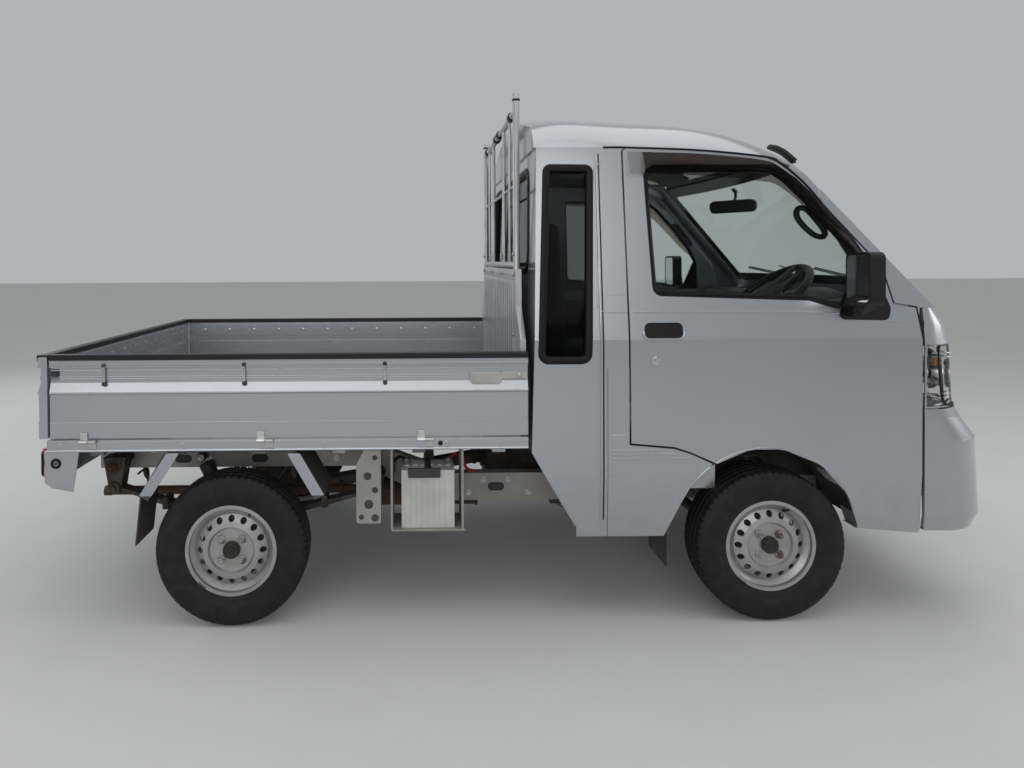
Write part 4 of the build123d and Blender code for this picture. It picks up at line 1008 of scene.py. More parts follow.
# Aerial wedge on the front of the roof's edge
aerial = Form()
foot = side_line(((0.882, 1.672), (0.925, 1.652), (0.966, 1.618)), 0.0)
rows = []
for reach, spot in enumerate(smooth_line(foot, 5)):
    size = 0.007 + 0.01 * sin(pi * min(reach / 10 + 0.12, 1.0))
    rows.append([spot + Vector((0, 0.018 * cos(2 * pi * k / 10),
        size * (0.35 + max(sin(2 * pi * k / 10), -0.3)))) for k in range(10)])
aerial.loops(rows)
aerial.tube([foot[0] + Vector((0.004, 0.0, 0.012)), foot[1] + Vector((0.006, 0, 0.016)),
    foot[2] + Vector((0.01, 0, 0.012))], 0.0045)
aerial.finish("aerial_foot", "black_plastic")

# Gates: black cap strips along their tops, rope hooks, and finer pressed lines
TAIL_FACE = -1.6835
GATE_LINE = (-1.643, -0.8, 0.004)
RECESS_LINES = (0.876, 0.883, 0.905)
LATCH_LOW, LATCH_HIGH = 0.851, 0.893
PULL_LOW, PULL_HIGH = 0.858, 0.886
CAP = ((0.001, 0.9405), (0.0006, 0.9575), (0.003, 0.96), (0.034, 0.96), (0.0375, 0.9575),
    (0.0375, 0.9405), (0.035, 0.9405), (0.035, 0.9535), (0.0025, 0.9535), (0.0025, 0.9405))
side_cap = Form()
rows = [[(x, -HALF_WIDTH - 0.0026 + depth, z) for depth, z in CAP] for x in (-1.6435, 0.0055)]
side_cap.loops(rows)
side_cap.pair("gate_cap", "black_plastic", GATES)
rear_cap = Form()
rows = [[(TAIL_FACE - 0.0026 + depth, y, z) for depth, z in CAP] for y in (-0.736, 0.736)]
rear_cap.loops(rows)
rear_cap.finish("tailgate_cap", "black_plastic", "tailgate")
hooks, mounts_round = Form(), Form()
for x in (-1.4565, -0.9755, -0.4905):
    hooks.tube(at_x(x, (-0.7265, 0.861), (-0.7335, 0.865), (-0.7345, 0.876), (-0.7345, 0.906),
        (-0.7335, 0.917), (-0.7265, 0.92)), 0.0038)
    for z in (0.923, 0.859):
        mounts_round.lathe(at(facing_right(-HALF_WIDTH - 0.0008), x, z),
            turned((0.0075, -0.012), (0.0075, 0.0004), (0.005, 0.0016)), 20)
hooks.pair("rope_hooks", "chrome", GATES)
mounts_round.pair("hook_mounts", "iron", GATES)
# Fine lines pressed in the recess, the bright ledge under it and the thin line above the foot
pressed = Form()
for z in RECESS_LINES:
    pressed.tube([(x, -0.7258, z) for x in (-1.642, -0.8, -0.1 if z > 0.9 else -0.205)], 0.0019,
        sides=10)
for y, z, radius, sides in ((-0.7256, 0.864, 0.0021, 8), (-0.7362, 0.9185, 0.0021, 8),
        (-0.736, 0.8285, 0.003, 12), (-0.7342, 0.726, 0.002, 8)):
    pressed.tube([(x, y, z) for x in GATE_LINE], radius, sides=sides)
pressed.pair("gate_lines", "paint", GATES)
# Latch: pull lever in its dish, catch plate and round boss
latch = Form()
catch = facing_right(-HALF_WIDTH + 0.012)
latch.slab(catch, rect(-0.196, LATCH_LOW, -0.084, LATCH_HIGH), 0.0125, 0.016, 0.0018)
latch.slab(catch, rect(-0.088, 0.868, 0.0, LATCH_HIGH), 0.011, 0.003, 0.0012)
latch.slab(facing_right(-HALF_WIDTH), rect(-0.186, PULL_LOW, -0.1, PULL_HIGH), 0.0045, 0.012,
    0.0016)
latch.lathe(at(facing_right(-HALF_WIDTH + 0.001), -0.024, 0.8805),
    turned((0.0095, 0), (0.009, 0.0045), (0.006, 0.006)), 24)
latch.pair("gate_latch", "zinc", GATES)
pocket = Form()
pocket.slab(facing_right(-HALF_WIDTH + 0.012), rect(-1.643, 0.872, -1.612, 0.91), 0.0015, 0.004,
    0.0005)
pocket.slab(facing_right(-HALF_WIDTH + 0.0105), rect(-1.64, 0.884, -1.618, 0.898), 0.005, 0.003,
    0.001)
pocket.pair("gate_pocket", "trim_dark", GATES)

# Tailgate: the same pressings across, its side latches and its inner face
tail = Form()
for z, depth in ((0.864, 0.0118), (0.9185, 0.0012), (0.8285, 0.0014), (0.726, 0.0028)):
    tail.tube([(TAIL_FACE + depth, y, z) for y in (-0.735, 0.0, 0.735)], 0.0022, sides=8)
for z in RECESS_LINES:
    tail.tube([(TAIL_FACE + 0.0116, y, z) for y in (-0.56, 0.0, 0.56)], 0.0019, sides=10)
for y in (-0.37, 0.37):
    frame_line = round_corners(rect(y - 0.25, 0.745, y + 0.25, 0.812), 0.016)
    tail.tube([(TAIL_FACE + 0.0036, p[0], p[1]) for p in frame_line], 0.0022, sides=8, steps=0,
        closed=True)
tail.finish("tailgate_lines", "paint", "tailgate")
tail_latch = Form()
for side in (-1, 1):
    rear_face = plane((TAIL_FACE + 0.012, side * 0.6065, 0.0), *REARWARD)
    tail_latch.slab(rear_face, rect(-0.0565, LATCH_LOW, 0.0565, LATCH_HIGH), 0.0125, 0.016, 0.0018)
    tail_latch.slab(at(rear_face, 0, 0, 0.0125), rect(-0.043, PULL_LOW, 0.043, PULL_HIGH),
        0.004, 0.012, 0.0014)
    reach = side * 0.062
    tail_latch.slab(rear_face, rect(-reach - 0.004, 0.87, -reach * 1.9, 0.89), 0.01, 0.003, 0.001)
tail_latch.finish("tailgate_latches", "zinc", "tailgate")
tail_inner = Form()
tail_inside = plane((TAIL_FACE + 0.033, 0, 0), *FORWARD)
for low, high, deep in ((0.868, 0.934, 0.0028), (0.7, 0.842, 0.0036)):
    tail_inner.slab(tail_inside, rect(-0.66, low, 0.66, high), deep, 0.008, 0.0012)
for index in range(11):
    tail_inner.lathe(at(tail_inside, (index - 5) * 0.12, 0.901, 0.0028),
        turned((0.0085, 0), (0.008, 0.0014), (0.004, 0.0022)), 16)
tail_inner.finish("tailgate_inner", "gate_paint", "tailgate")

# Bed floor: broad pressed ribs with narrow grooves between them
BED_TOP = 0.6648
ribs = Form()
for index in range(9):
    y = (index - 4) * 0.1506
    ribs.slab(facing_up(BED_TOP), rect(-1.64, y - 0.054, -0.026, y + 0.054), 0.0042, 0.006, 0.0022)
ribs.finish("bed_ribs", "bed_metal")

# Headlamps: bulbs and amber shades inside the bowls, ribs across the body


def lathe_forward(form, x, y, z, profile, segments=28):
    return form.lathe(plane((x, y, z), *FORWARD), profile, segments)


bulbs, ambers, chrome_rings, lamp_ribs = Form(), Form(), Form(), Form()
LAMP_Z = 0.866
MAIN_BOWL = (1.486, -0.5455, LAMP_Z)
SIDE_BOWL = (1.468, -0.6515, LAMP_Z)
lathe_forward(bulbs, *MAIN_BOWL, [(0, 0), (0.009, 0), (0.01, 0.02), (0.011, 0.034), (0.008, 0.046),
    (0, 0.048)])
lathe_forward(chrome_rings, *MAIN_BOWL, turned((0.019, -0.004), (0.019, 0.004), (0.014, 0.01)))
lathe_forward(chrome_rings, 1.532, *MAIN_BOWL[1:],
    [(0, 0.012), (0.0135, 0.0105), (0.013, 0), (0.014, 0.001), (0.0155, 0.012), (0, 0.014)])
lathe_forward(ambers, *SIDE_BOWL, [(0, 0), (0.012, 0), (0.014, 0.014), (0.015, 0.026),
    (0.01, 0.038), (0, 0.041)])
lathe_forward(chrome_rings, *SIDE_BOWL, turned((0.02, -0.004), (0.019, 0.004), (0.014, 0.006)))
for z in (0.786, 0.8, 0.93, 0.944):
    line = [(1.432, -0.708, z), (1.478, -0.7075, z), (1.512, -0.694, z), (1.532, -0.664, z)]
    lamp_ribs.tube(line, 0.0035, flat=0.7)
ambers.slab(plane((0, -0.7085, 0), *RIGHTWARD), rect(1.436, 0.9, 1.462, 0.926), 0.008, 0.004, 0.001)
bulbs.pair("headlamp_bulb", "bulb_clear")
ambers.pair("lamp_amber", "bulb_amber")
chrome_rings.pair("lamp_ring", "chrome")
lamp_ribs.pair("lamp_rib", "reflector")

# Front: intake grille, fog lamp covers, towing eyes and the seals behind the headlamps
mesh = Form()
mesh.slab(facing_front(1.67), [(-0.285, 0.512), (0.285, 0.512), (0.272, 0.606), (-0.272, 0.606)],
    0.0265, 0.016, 0.003)
for index in range(3):
    z = 0.5335 + index * 0.026
    mesh.slab(facing_front(1.696), rect(-0.262, z - 0.004, 0.262, z + 0.004), 0.0014, 0.003, 0.0008)
mesh.finish("intake_grille", "black_plastic")
fog = Form()
fog_spot = plane((1.6762, -0.52, 0.425), (0.09, 1, 0), (0, 0, 1))
fog.lathe(fog_spot, turned((0.0465, -0.002), (0.0465, 0.003), (0.044, 0.005), (0.04, 0.003),
    (0.012, 0.0045)), 48)
for k in (-2, -1, 0, 1, 2):
    half = sqrt(0.036**2 - (k * 0.012) ** 2)
    fog.slab(fog_spot, rect(-half, k * 0.012 - 0.0015, half, k * 0.012 + 0.0015), 0.0035, 0.0,
        0.0008, 2, 0.003)
fog.pair("fog_cover", "black_plastic")
eye = Form()
ring = [(1.56 + 0.022 * cos(a), -0.33, 0.318 + 0.022 * sin(a))
    for a in (2 * pi * k / 12 for k in range(12))]
eye.tube(ring, 0.006, closed=True, steps=3)
eye.box((1.5, -0.336, 0.306), (1.543, -0.324, 0.33), 0.003)
eye.pair("towing_eye", "chassis")
Form().tube([on_side(1.404, z, -0.01) for z in (0.76, 0.86, 0.975)], 0.0025).pair("lamp_seal",
    "seal_rubber")

# Tail lamps: red, amber and clear lenses with a rim and screws
for name, y0, y1, finish in (("red", -0.706, -0.64, "lens_red"),
        ("amber", -0.636, -0.58, "lens_amber"), ("clear", -0.576, -0.516, "lens_clear")):
    lens = Form()
    lens.slab(plane((-1.6852, 0, 0), *REARWARD), rect(-y1, 0.54, -y0, 0.616), 0.0055, 0.006, 0.0018,
        3)
    for y in (y0 + 0.006, y1 - 0.006):
        lens.lathe(plane((-1.6905, y, 0.545), *REARWARD),
            [(0, 0), (0.003, 0), (0.0026, 0.0016), (0, 0.002)], 12)
    lens.pair(f"tail_lens_{name}", finish)
rims = Form()
rim_line = round_corners(rect(-0.711, 0.535, -0.511, 0.621), 0.012)
rims.tube([(-1.684, p[0], p[1]) for p in rim_line], 0.0035, steps=0, closed=True)
rims.pair("tail_lamp_rim", "black_plastic")

# Gates: pressings on the inner faces of the side gates
GATE_REAR, GATE_FRONT = -1.644, 0.006
inner_y = -(HALF_WIDTH - 0.033)
pressing = Form()
inside = plane((0, inner_y, 0), *LEFTWARD)
for low, high, depth, radius, bevel in ((0.868, 0.934, 0.0028, 0.006, 0.0012),
        (0.7, 0.842, 0.0036, 0.01, 0.0014)):
    pressing.slab(inside, rect(-GATE_FRONT + 0.02, low, -GATE_REAR - 0.05, high), depth, radius,
        bevel)
for index in range(12):
    spot = at(inside, 0.06 + index * 0.136, 0.901, 0.0028)
    pressing.lathe(spot, turned((0.0085, 0), (0.008, 0.0014), (0.004, 0.0022)), 16)
for index in range(3):
    x = 0.3 + index * 0.52
    pressing.slab(inside, rect(x, 0.715, x + 0.022, 0.828), 0.0075, 0.008, 0.002)
pressing.pair("gate_inner", "gate_paint", GATES)
# The gate's body: one pressed section, rolled hinge knuckles on its foot and on the rail
GATE_SECTION = (
    # depth in from the outer face, height
    (0.0, 0.947), (0.003, 0.953), (0.033, 0.953), (0.033, 0.671), (0.003, 0.671),
    (0.003, 0.7235), (0.0048, 0.7275), (0.004, 0.8215), (0.0, 0.826), (0.0, 0.83),
    (0.0105, 0.8615), (0.012, 0.864), (0.012, 0.9155), (0.002, 0.9205), (0.002, 0.935),
    (0.0, 0.9375),
)
HINGES = (-1.54, -0.933, -0.38)
KNUCKLE = 0.028


def knuckle(form, spot, along, outward):
    """A hinge barrel, from a spot on the axis."""
    form.lathe(plane(spot, outward, Vector(along).cross(outward)),
        turned((0.0058, 0), (0.0062, 0.0006), (0.0062, KNUCKLE - 0.0006), (0.0058, KNUCKLE)), 20)


def gate_body(name, replaced, body, rows, hinge_spots, along, outward):
    form = Form().loops(rows)
    barrel, rail_barrel = Form(), Form()
    for spot in hinge_spots:
        start = Vector(spot)
        knuckle(barrel, start, along, outward)
        knuckle(rail_barrel, start + Vector(along) * (KNUCKLE + 0.001), along, outward)
        centre = start + Vector(along) * KNUCKLE / 2 - Vector(outward) * 0.0075
        frame_leaf = plane(centre, along, (0, 0, 1))
        leaf = rect(-0.0125, 0.0, 0.0125, 0.03)
        barrel.slab(frame_leaf, leaf, 0.003, 0.003, 0.0008, 2, -0.0008)
        for shift in (-0.006, 0.006):
            barrel.bolt(at(frame_leaf, shift, 0.021, 0.002), 0.0034, 0.0022, False)
        centre += Vector(along) * (KNUCKLE + 0.001) - Vector(outward) * 0.0028
        leaf = rect(-0.0125, -0.026, 0.0125, 0.0)
        rail_barrel.slab(plane(centre, along, (0, 0, 1)), leaf, 0.003, 0.003, 0.0008, 2, -0.0008)
    piece = form.finish(name, "gate_paint", body)
    bevel = piece.modifiers.new("edges", "BEVEL")
    bevel.width = 0.0014
    bevel.segments = 2
    bevel.angle_limit = radians(30)
    piece.modifiers.move(1, 0)
    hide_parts(replaced)
    barrel.finish(f"{name}_hinges", "chrome", body)
    rail_barrel.finish(f"{name}_rail_hinges", "zinc")


for side, label in ((-1, "right"), (1, "left")):
    rows = [[(x, side * (HALF_WIDTH - depth), z) for depth, z in GATE_SECTION]
        for x in (GATE_REAR, GATE_FRONT)]
    along = (1, 0, 0) if side < 0 else (-1, 0, 0)
    spots = [(x if side < 0 else x + KNUCKLE, side * 0.7455, 0.662) for x in HINGES]
    gate_body(f"gate_{label}_panel", f"gate_{label}", f"gate_{label}", rows, spots, along,
        (0, side, 0))
rows = [[(TAIL_FACE + depth, y, z) for depth, z in GATE_SECTION] for y in (-0.7365, 0.7365)]
spots = [(-1.6912, y, 0.662) for y in (-0.545, 0.015, 0.575)]
gate_body("tailgate_panel", "tailgate", "tailgate", rows, spots, (0, -1, 0), (-1, 0, 0))

# Bright rounded lower edge of the side rails, and their bolts
RAIL_FACE = 0.7345
Form().tube([(x, -0.733, 0.6285) for x in (-1.654, -0.8, 0.005)], 0.0046).pair("rail_edge", "paint")
rail_bolts = Form().bolt(at(facing_right(-RAIL_FACE), -0.278, 0.648), 0.006, 0.004)
for x in (-1.61, -1.19, -0.7, -0.09):
    rail_bolts.bolt(at(facing_right(-RAIL_FACE), x, 0.6485), 0.0042, 0.003)
rail_bolts.pair("rail_bolts", "zinc")
rail_holes = Form()
rail_holes.lathe(at(facing_right(-0.7343), -0.3, 0.646),
    [(0, 0), (0.0085, 0), (0.0085, 0.0012), (0.006, 0.002), (0.0, 0.001)], 24)
# Rubber grommets on the rear side plates and plugs behind them
GROMMET = (-1.625, 0.585)
rail_holes.lathe(at(facing_right(-0.7336), *GROMMET),
    [(0.008, -0.004), (0.0155, -0.003), (0.0185, 0.0), (0.017, 0.0035), (0.012, 0.0045),
    (0.0085, 0.0025)], 28)
rail_holes.lathe(at(facing_right(-0.733), *GROMMET),
    [(0, -0.002), (0.0088, -0.002), (0.0088, 0.0), (0.0, 0.001)], 20)
rail_holes.lathe(plane((-1.665, -0.724, 0.588), *REARWARD),
    turned((0.013, 0), (0.012, 0.008), (0.008, 0.011)), 24)
rail_holes.pair("side_plugs", "seal_rubber")

# Chequered strips along the wheel guards' slanting edges
for label, low, high in (("rear", (-1.342, 0.47), (-1.246, 0.618)),
        ("front", (-0.702, 0.468), (-0.786, 0.614))):
    lean = -0.044 if label == "front" else 0.044
    corners = [low, (low[0] + lean, low[1]), (high[0] + lean, high[1]), high]
    strip = Form()
    strip.slab(facing_right(-0.7335), corners, 0.0022, 0.003, 0.0008)
    along = (Vector(high) - Vector(low)).normalized()
    side_way = Vector((along.y, -along.x)) * (1 if lean > 0 else -1)
    for row in range(24):
        for column in range(6):
            middle = Vector(low) + along * (0.006 + row * 0.0069) + side_way * (0.005 + column *
                0.0058 + (row % 2) * 0.0029)
            if column == 5 and row % 2:
                continue
            turn = 0.6 if (row + column) % 2 else -0.6
            length, width = 0.003, 0.0011
            axis = Vector((cos(turn), sin(turn)))
            cross = Vector((-axis.y, axis.x))
            diamond = [middle - axis * length, middle - cross * width, middle + axis * length,
                middle + cross * width]
            strip.slab(facing_right(-0.7355), diamond, 0.0009, 0.0, 0.0, 1)
    strip.pair(f"guard_strip_{label}", "paint")

# Headboard: rubber pads on its bar, caps on its pins, bolts and guard bars
board = Form()
for y in (-0.43, -0.055, 0.055, 0.43):
    board.lathe(plane((-0.006, y - 0.02, 1.835), (0, 0, 1), (1, 0, 0)),
        [(0.012, 0), (0.0165, 0.001), (0.018, 0.006), (0.018, 0.034), (0.0165, 0.039),
        (0.012, 0.04)], 24)
for side in (-1, 1):
    board.lathe(plane((-0.006, side * 0.545, 1.872), *UPWARD),
        turned((0.0125, 0), (0.015, 0.001), (0.015, 0.006), (0.0086, 0.01), (0.0086, 0.024),
        (0.006, 0.027)), 24)
board.finish("headboard_pads", "seal_rubber")
clips = Form()
for y in (-0.545, -0.19, 0.19, 0.545):
    for z in (1.3, 1.225, 1.0 if abs(y) > 0.3 else 1.29):
        clips.bolt(plane((-0.019, y, z), *REARWARD), 0.0055, 0.0045)
for y in (-0.62, -0.36, 0.0, 0.36, 0.62):
    clips.bolt(plane((-0.0165, y, 0.715), *REARWARD), 0.0065, 0.005)
clips.finish("headboard_bolts", "zinc")
rails = Form()
for y in (-0.369, 0.369):
    rails.tube([(-0.006, y, 1.262), (-0.006, y, 1.55), (-0.006, y, 1.832)], 0.0062, sides=12)
rails.tube([(-0.006, -0.54, 1.56), (-0.006, 0.0, 1.56), (-0.006, 0.54, 1.56)], 0.0062, sides=12)
rails.finish("headboard_guard_bars", "silver_tube")

# Bed floor: cross seams, rivets and lashing rings in their cups
seams = Form()
for x in (-1.28, -0.86, -0.44):
    seams.box((x - 0.004, -0.69, 0.6645), (x + 0.004, 0.69, 0.6662), 0.0007, 1)
for x in (-1.575, -1.28, -0.86, -0.44, -0.075):
    for index in range(8):
        y = (index - 3.5) * 0.15061
        seams.lathe(at(facing_up(BED_TOP), x + 0.014, y),
            [(0, 0), (0.006, 0), (0.0045, 0.0022), (0, 0.0028)], 12)
seams.finish("bed_seams", "bed_metal")
rings = Form()
for x in (-1.45, -0.25):
    for y in (-0.6, 0.6):
        loop = [(x + 0.02 * cos(a), y + 0.026 * sin(a), 0.6705)
            for a in (2 * pi * k / 10 for k in range(10))]
        rings.tube(loop, 0.0036, closed=True, steps=3, sides=8)
        rings.box((x - 0.009, y - 0.034, BED_TOP), (x + 0.009, y - 0.02, 0.6755), 0.003)
rings.finish("lashing_rings", "zinc")

# Rubber stops at the cab that the side gates close on
stops = Form()
for low, high in ((-0.722, -0.7), (0.7, 0.722)):
    stops.box((0.0065, low, 0.7), (0.016, high, 0.93), 0.003)
stops.finish("gate_stops", "seal_rubber")

# Headlamp housings behind the lenses: a bright shell with two bowls, and a dark frame
NOSE_STATIONS = (
    # height, X of the front, radius of the corners
    (0.323, 1.6795, 0.175),
    (0.372, 1.6975, 0.17),
    (0.64, 1.6815, 0.17),
    (0.715, 1.6215, 0.16),
    (0.752, 1.5975, 0.15),
    (0.978, 1.578, 0.15),
)
NOSE_BOW = 0.025


def nose_front(y, z, lift=0.0):
    """A point on the front of the nose and bumper, raised off it."""
    tip, corner = NOSE_STATIONS[-1][1:]
    for low, high in zip(NOSE_STATIONS, NOSE_STATIONS[1:]):
        if z <= high[0]:
            share = (z - low[0]) / (high[0] - low[0])
            tip = low[1] + (high[1] - low[1]) * share
            corner = low[2] + (high[2] - low[2]) * share
            break
    edge = HALF_WIDTH - corner
    if abs(y) <= edge:
        return Vector((tip - NOSE_BOW * (y / edge) ** 2 + lift, y, z))
    reach = min((abs(y) - edge) / corner, 1.0)
    side = 1 if y > 0 else -1
    radius = corner + lift
    ahead = sqrt(max(1 - reach * reach, 0))
    return Vector((tip - NOSE_BOW - corner + radius * ahead, side * (edge + radius * reach), z))


shell = Form()
ys = (-0.482, -0.52, -0.56, -0.6, -0.635, -0.668, -0.69, -0.702, -0.708)
rows = []
for z, lift in ((0.766, -0.034), (0.772, -0.058), (0.8, -0.074), (0.866, -0.082), (0.93, -0.076),
        (0.962, -0.06), (0.969, -0.036)):
    row = [nose_front(y, z, lift) for y in ys]
    row += [nose_front(y, z, lift - 0.004) for y in reversed(ys)]
    rows.append(row)
shell.loops(rows)
shell.pair("lamp_shell", "reflector")
bowls = Form()
for centre_y, size, x in ((-0.5455, 0.074, 1.5605), (-0.6515, 0.05, 1.525)):
    angle = 0.0 if size > 0.06 else 0.35
    face = plane((x, centre_y, LAMP_Z), (sin(angle), cos(angle), 0), (0, 0, 1))
    rings = [(size, 0.0), (size, -0.002), (size * 0.965, -0.01)]
    rings += [(size * sqrt(max(1 - k / 8, 0.0)) * 0.96, -0.01 - 0.06 * k / 8) for k in range(1, 8)]
    rings += [(0.01, -0.069), (0.01, -0.0725)]
    rings += [(size * sqrt(max(1 - k / 8, 0.0)) * 0.96 + 0.003, -0.013 - 0.06 * k / 8)
        for k in range(7, 0, -1)]
    rings += [(size + 0.003, -0.01), (size + 0.003, 0.0)]
    bowls.lathe(face, rings, 48)
bowls.pair("lamp_bowl", "reflector")
EDGE_POINTS = ((-0.484, 0.774), (-0.6, 0.773), (-0.69, 0.772), (-0.7145, 0.774), (-0.7145, 0.866),
    (-0.714, 0.96), (-0.69, 0.966), (-0.6, 0.963), (-0.508, 0.957), (-0.496, 0.866))
frame_line = [nose_front(y, z, -0.0285) for y, z in EDGE_POINTS]
Form().tube(frame_line, 0.0042, closed=True, steps=4).pair("lamp_frame", "trim_dark")
# Thin seal round the lens, and painted shade in the gap between nose and bumper: a black tube
# darkens the gap line
seal_line = [(-0.474, 0.763), (-0.6, 0.762), (-0.69, 0.762), (-0.724, 0.763), (-0.7325, 0.8),
    (-0.7325, 0.93), (-0.729, 0.974), (-0.69, 0.972), (-0.6, 0.968), (-0.506, 0.963),
    (-0.49, 0.866)]
Form().tube([nose_front(y, z, -0.003) for y, z in seal_line], 0.003, closed=True,
    steps=3).pair("lens_seal", "seal_rubber")
gap = [nose_front(y, 0.753, -0.0035) for y in
    (0.0, -0.2, -0.4, -0.55, -0.6, -0.64, -0.67, -0.695, -0.715, -0.728, -0.7355)]
gap.append(Vector((1.405, -0.734, 0.753)))
Form().tube(gap, 0.0034, steps=3).pair("bumper_gap_shade", "seal_rubber")
# Creases along the bumper's shoulder, and upright ones at the number plate's place
crease = Form()
for z, lift in ((0.718, -0.0004), (0.64, -0.0008)):
    crease.tube([nose_front(y, z, lift) for y in
        (0.0, -0.2, -0.4, -0.56, -0.61, -0.65, -0.68, -0.705, -0.722, -0.733)], 0.0022, steps=2)
for y in (-0.02, -0.3):
    crease.tube([nose_front(y, z, -0.0014) for z in (0.385, 0.46, 0.5)], 0.0018, steps=3)
crease.pair("bumper_crease", "paint")
# Grille: dark backing, two bright bars and vertical ribs
backing = Form()
rows = []
for z in (0.8, 0.9):
    row = [nose_front(y, z, -0.03) for y in (-0.37, -0.2, 0.0, 0.2, 0.37)]
    row += [nose_front(y, z, -0.034) for y in (0.37, 0.2, 0.0, -0.2, -0.37)]
    rows.append(row)
backing.loops(rows)
for k in range(37):
    y = -0.36 + 0.02 * k
    backing.tube([nose_front(y, 0.8 + 0.033 * t, -0.02) for t in range(4)], 0.0016, sides=6,
        steps=2)
backing.finish("grille_backing", "trim_dark")
bars = Form()
for z in (0.836, 0.864):
    bars.tube([nose_front(y, z, -0.0125) for y in (-0.376, -0.25, -0.12, 0.0, 0.12, 0.25, 0.376)],
        0.0032, steps=3)
bars.finish("grille_bars", "chrome")
rim_line = [(-0.377, 0.797), (-0.2, 0.7965), (0.0, 0.7965), (0.2, 0.7965), (0.377, 0.797),
    (0.38, 0.85), (0.377, 0.903), (0.2, 0.9035), (0.0, 0.9035), (-0.2, 0.9035), (-0.377, 0.903),
    (-0.38, 0.85)]
Form().tube([nose_front(y, z, -0.003) for y, z in rim_line], 0.004, closed=True,
    steps=4).finish("grille_rim", "chrome")
# Front inner wheel arch shields and front mud flaps
SHIELD_IN, SHIELD_OUT = -0.56, -0.724
shield = Form()
rows = []
for a in range(18, 150, 6):
    angle = radians(a)
    rows.append([(ARCH_CENTRE[0] + (ARCH_RADIUS - inset) * cos(angle), y,
        ARCH_CENTRE[1] + (ARCH_RADIUS - inset) * sin(angle))
        for inset, y in ((0.003, SHIELD_OUT), (0.003, SHIELD_IN), (0.006, SHIELD_IN),
        (0.006, SHIELD_OUT))])
shield.loops(rows)
shield.pair("arch_shield", "black_plastic")
Form().slab(plane((0.4985, 0, 0), *FORWARD),
    [(-0.7, 0.19), (-0.512, 0.19), (-0.505, 0.455), (-0.7, 0.455)], 0.0042, 0.012,
    0.0012).pair("front_flap", "rubber")

# Dashboard: instrument hood and dials, air vents, radio, glove box, lower tray
DASH_FACE = plane((1.13, 0, 1.06), (0, -1, 0), (0.05, 0, 0.06))
DASH_LOW = plane((1.13, 0, 1.06), (0, -1, 0), (-0.02, 0, 0.12))
hood = Form()
hood_rows = []
for x, low, high, half in ((1.158, 1.078, 1.142, 0.146), (1.2, 1.078, 1.158, 0.156),
        (1.262, 1.1, 1.164, 0.15), (1.318, 1.1, 1.138, 0.118)):
    row = []
    for k in range(15):
        angle = pi * k / 14
        row.append((x, -0.35 + half * cos(angle), low + (high - low) * sin(angle) ** 0.55
            if 0 < k < 14 else low))
    hood_rows.append(row)
hood.loops(hood_rows)
hood.finish("instrument_hood", "trim_dark")
dial_plane = plane((1.157, -0.35, 1.11), (0, -1, 0), (0.25, 0, 1))
Form().slab(dial_plane, rect(-0.118, -0.028, 0.118, 0.023), 0.0025, 0.018,
    0.0008).finish("dial_screen", "screen")
marks, needles = Form(), Form()
for centre_x, size in ((-0.052, 0.022), (0.052, 0.022)):
    for k in range(13):
        angle = radians(-130 + 260 * k / 12)
        inner, outer = size * 0.78, size
        direction = Vector((sin(angle), cos(angle)))
        across_way = Vector((direction.y, -direction.x)) * 0.0006
        middle = Vector((centre_x, -0.002))
        corners = [middle + direction * inner - across_way, middle + direction * outer - across_way,
            middle + direction * outer + across_way, middle + direction * inner + across_way]
        marks.slab(dial_plane, corners, 0.0004, 0.0, 0.0, 1, 0.0025)
    direction = Vector((-0.6, -0.5)).normalized()
    across_way = Vector((direction.y, -direction.x)) * 0.0009
    middle = Vector((centre_x, -0.002))
    corners = [middle - across_way, middle + direction * size * 0.8, middle + across_way]
    needles.slab(dial_plane, corners, 0.0006, 0.0, 0.0, 1, 0.0029)
marks.finish("dial_marks", "dial_mark")
needles.finish("dial_needles", "needle")
vents, vent_rims = Form(), Form()
for y in (-0.56, -0.125, 0.125, 0.56):
    place = at(DASH_FACE, -y, 0.038)
    half = 0.046 if abs(y) > 0.3 else 0.052
    rim_line = round_corners(rect(-half, -0.026, half, 0.026), 0.01)
    vent_rims.tube([place @ Vector((p.x, p.y, 0.0012)) for p in rim_line], 0.003, closed=True,
        steps=0)
    vents.slab(place, rect(-half, -0.026, half, 0.026), 0.0015, 0.01, 0.0005)
    for k in range(5):
        z = -0.018 + 0.009 * k
        vents.slab(place, rect(-half + 0.004, z - 0.0011, half - 0.004, z + 0.0011), 0.005, 0.0,
            0.0006, 1, 0.001)
    vents.slab(place, rect(-0.004, -0.02, 0.004, -0.008), 0.0085, 0.0, 0.0012, 2, 0.001)
vents.finish("vents", "trim_dark")
vent_rims.finish("vent_rims", "trim_grey")
radio, knobs = Form(), Form()
radio_place = at(DASH_LOW, 0, -0.052)
radio.slab(radio_place, rect(-0.092, -0.03, 0.092, 0.03), 0.006, 0.006, 0.002)
radio.slab(radio_place, rect(-0.04, 0.002, 0.052, 0.022), 0.0015, 0.003, 0.0004, 2, 0.006)
for k in range(6):
    radio.slab(radio_place, rect(-0.04 + k * 0.0155, -0.02, -0.028 + k * 0.0155, -0.01), 0.002,
        0.001, 0.0005, 2, 0.006)
for x in (-0.068, 0.072):
    knobs.lathe(at(radio_place, x, 0.0, 0.006),
        turned((0.0125, 0), (0.0115, 0.012), (0.01, 0.0135)), 28)
heater = at(DASH_LOW, 0, -0.128)
radio.slab(heater, rect(-0.1, -0.028, 0.1, 0.028), 0.004, 0.008, 0.0015)
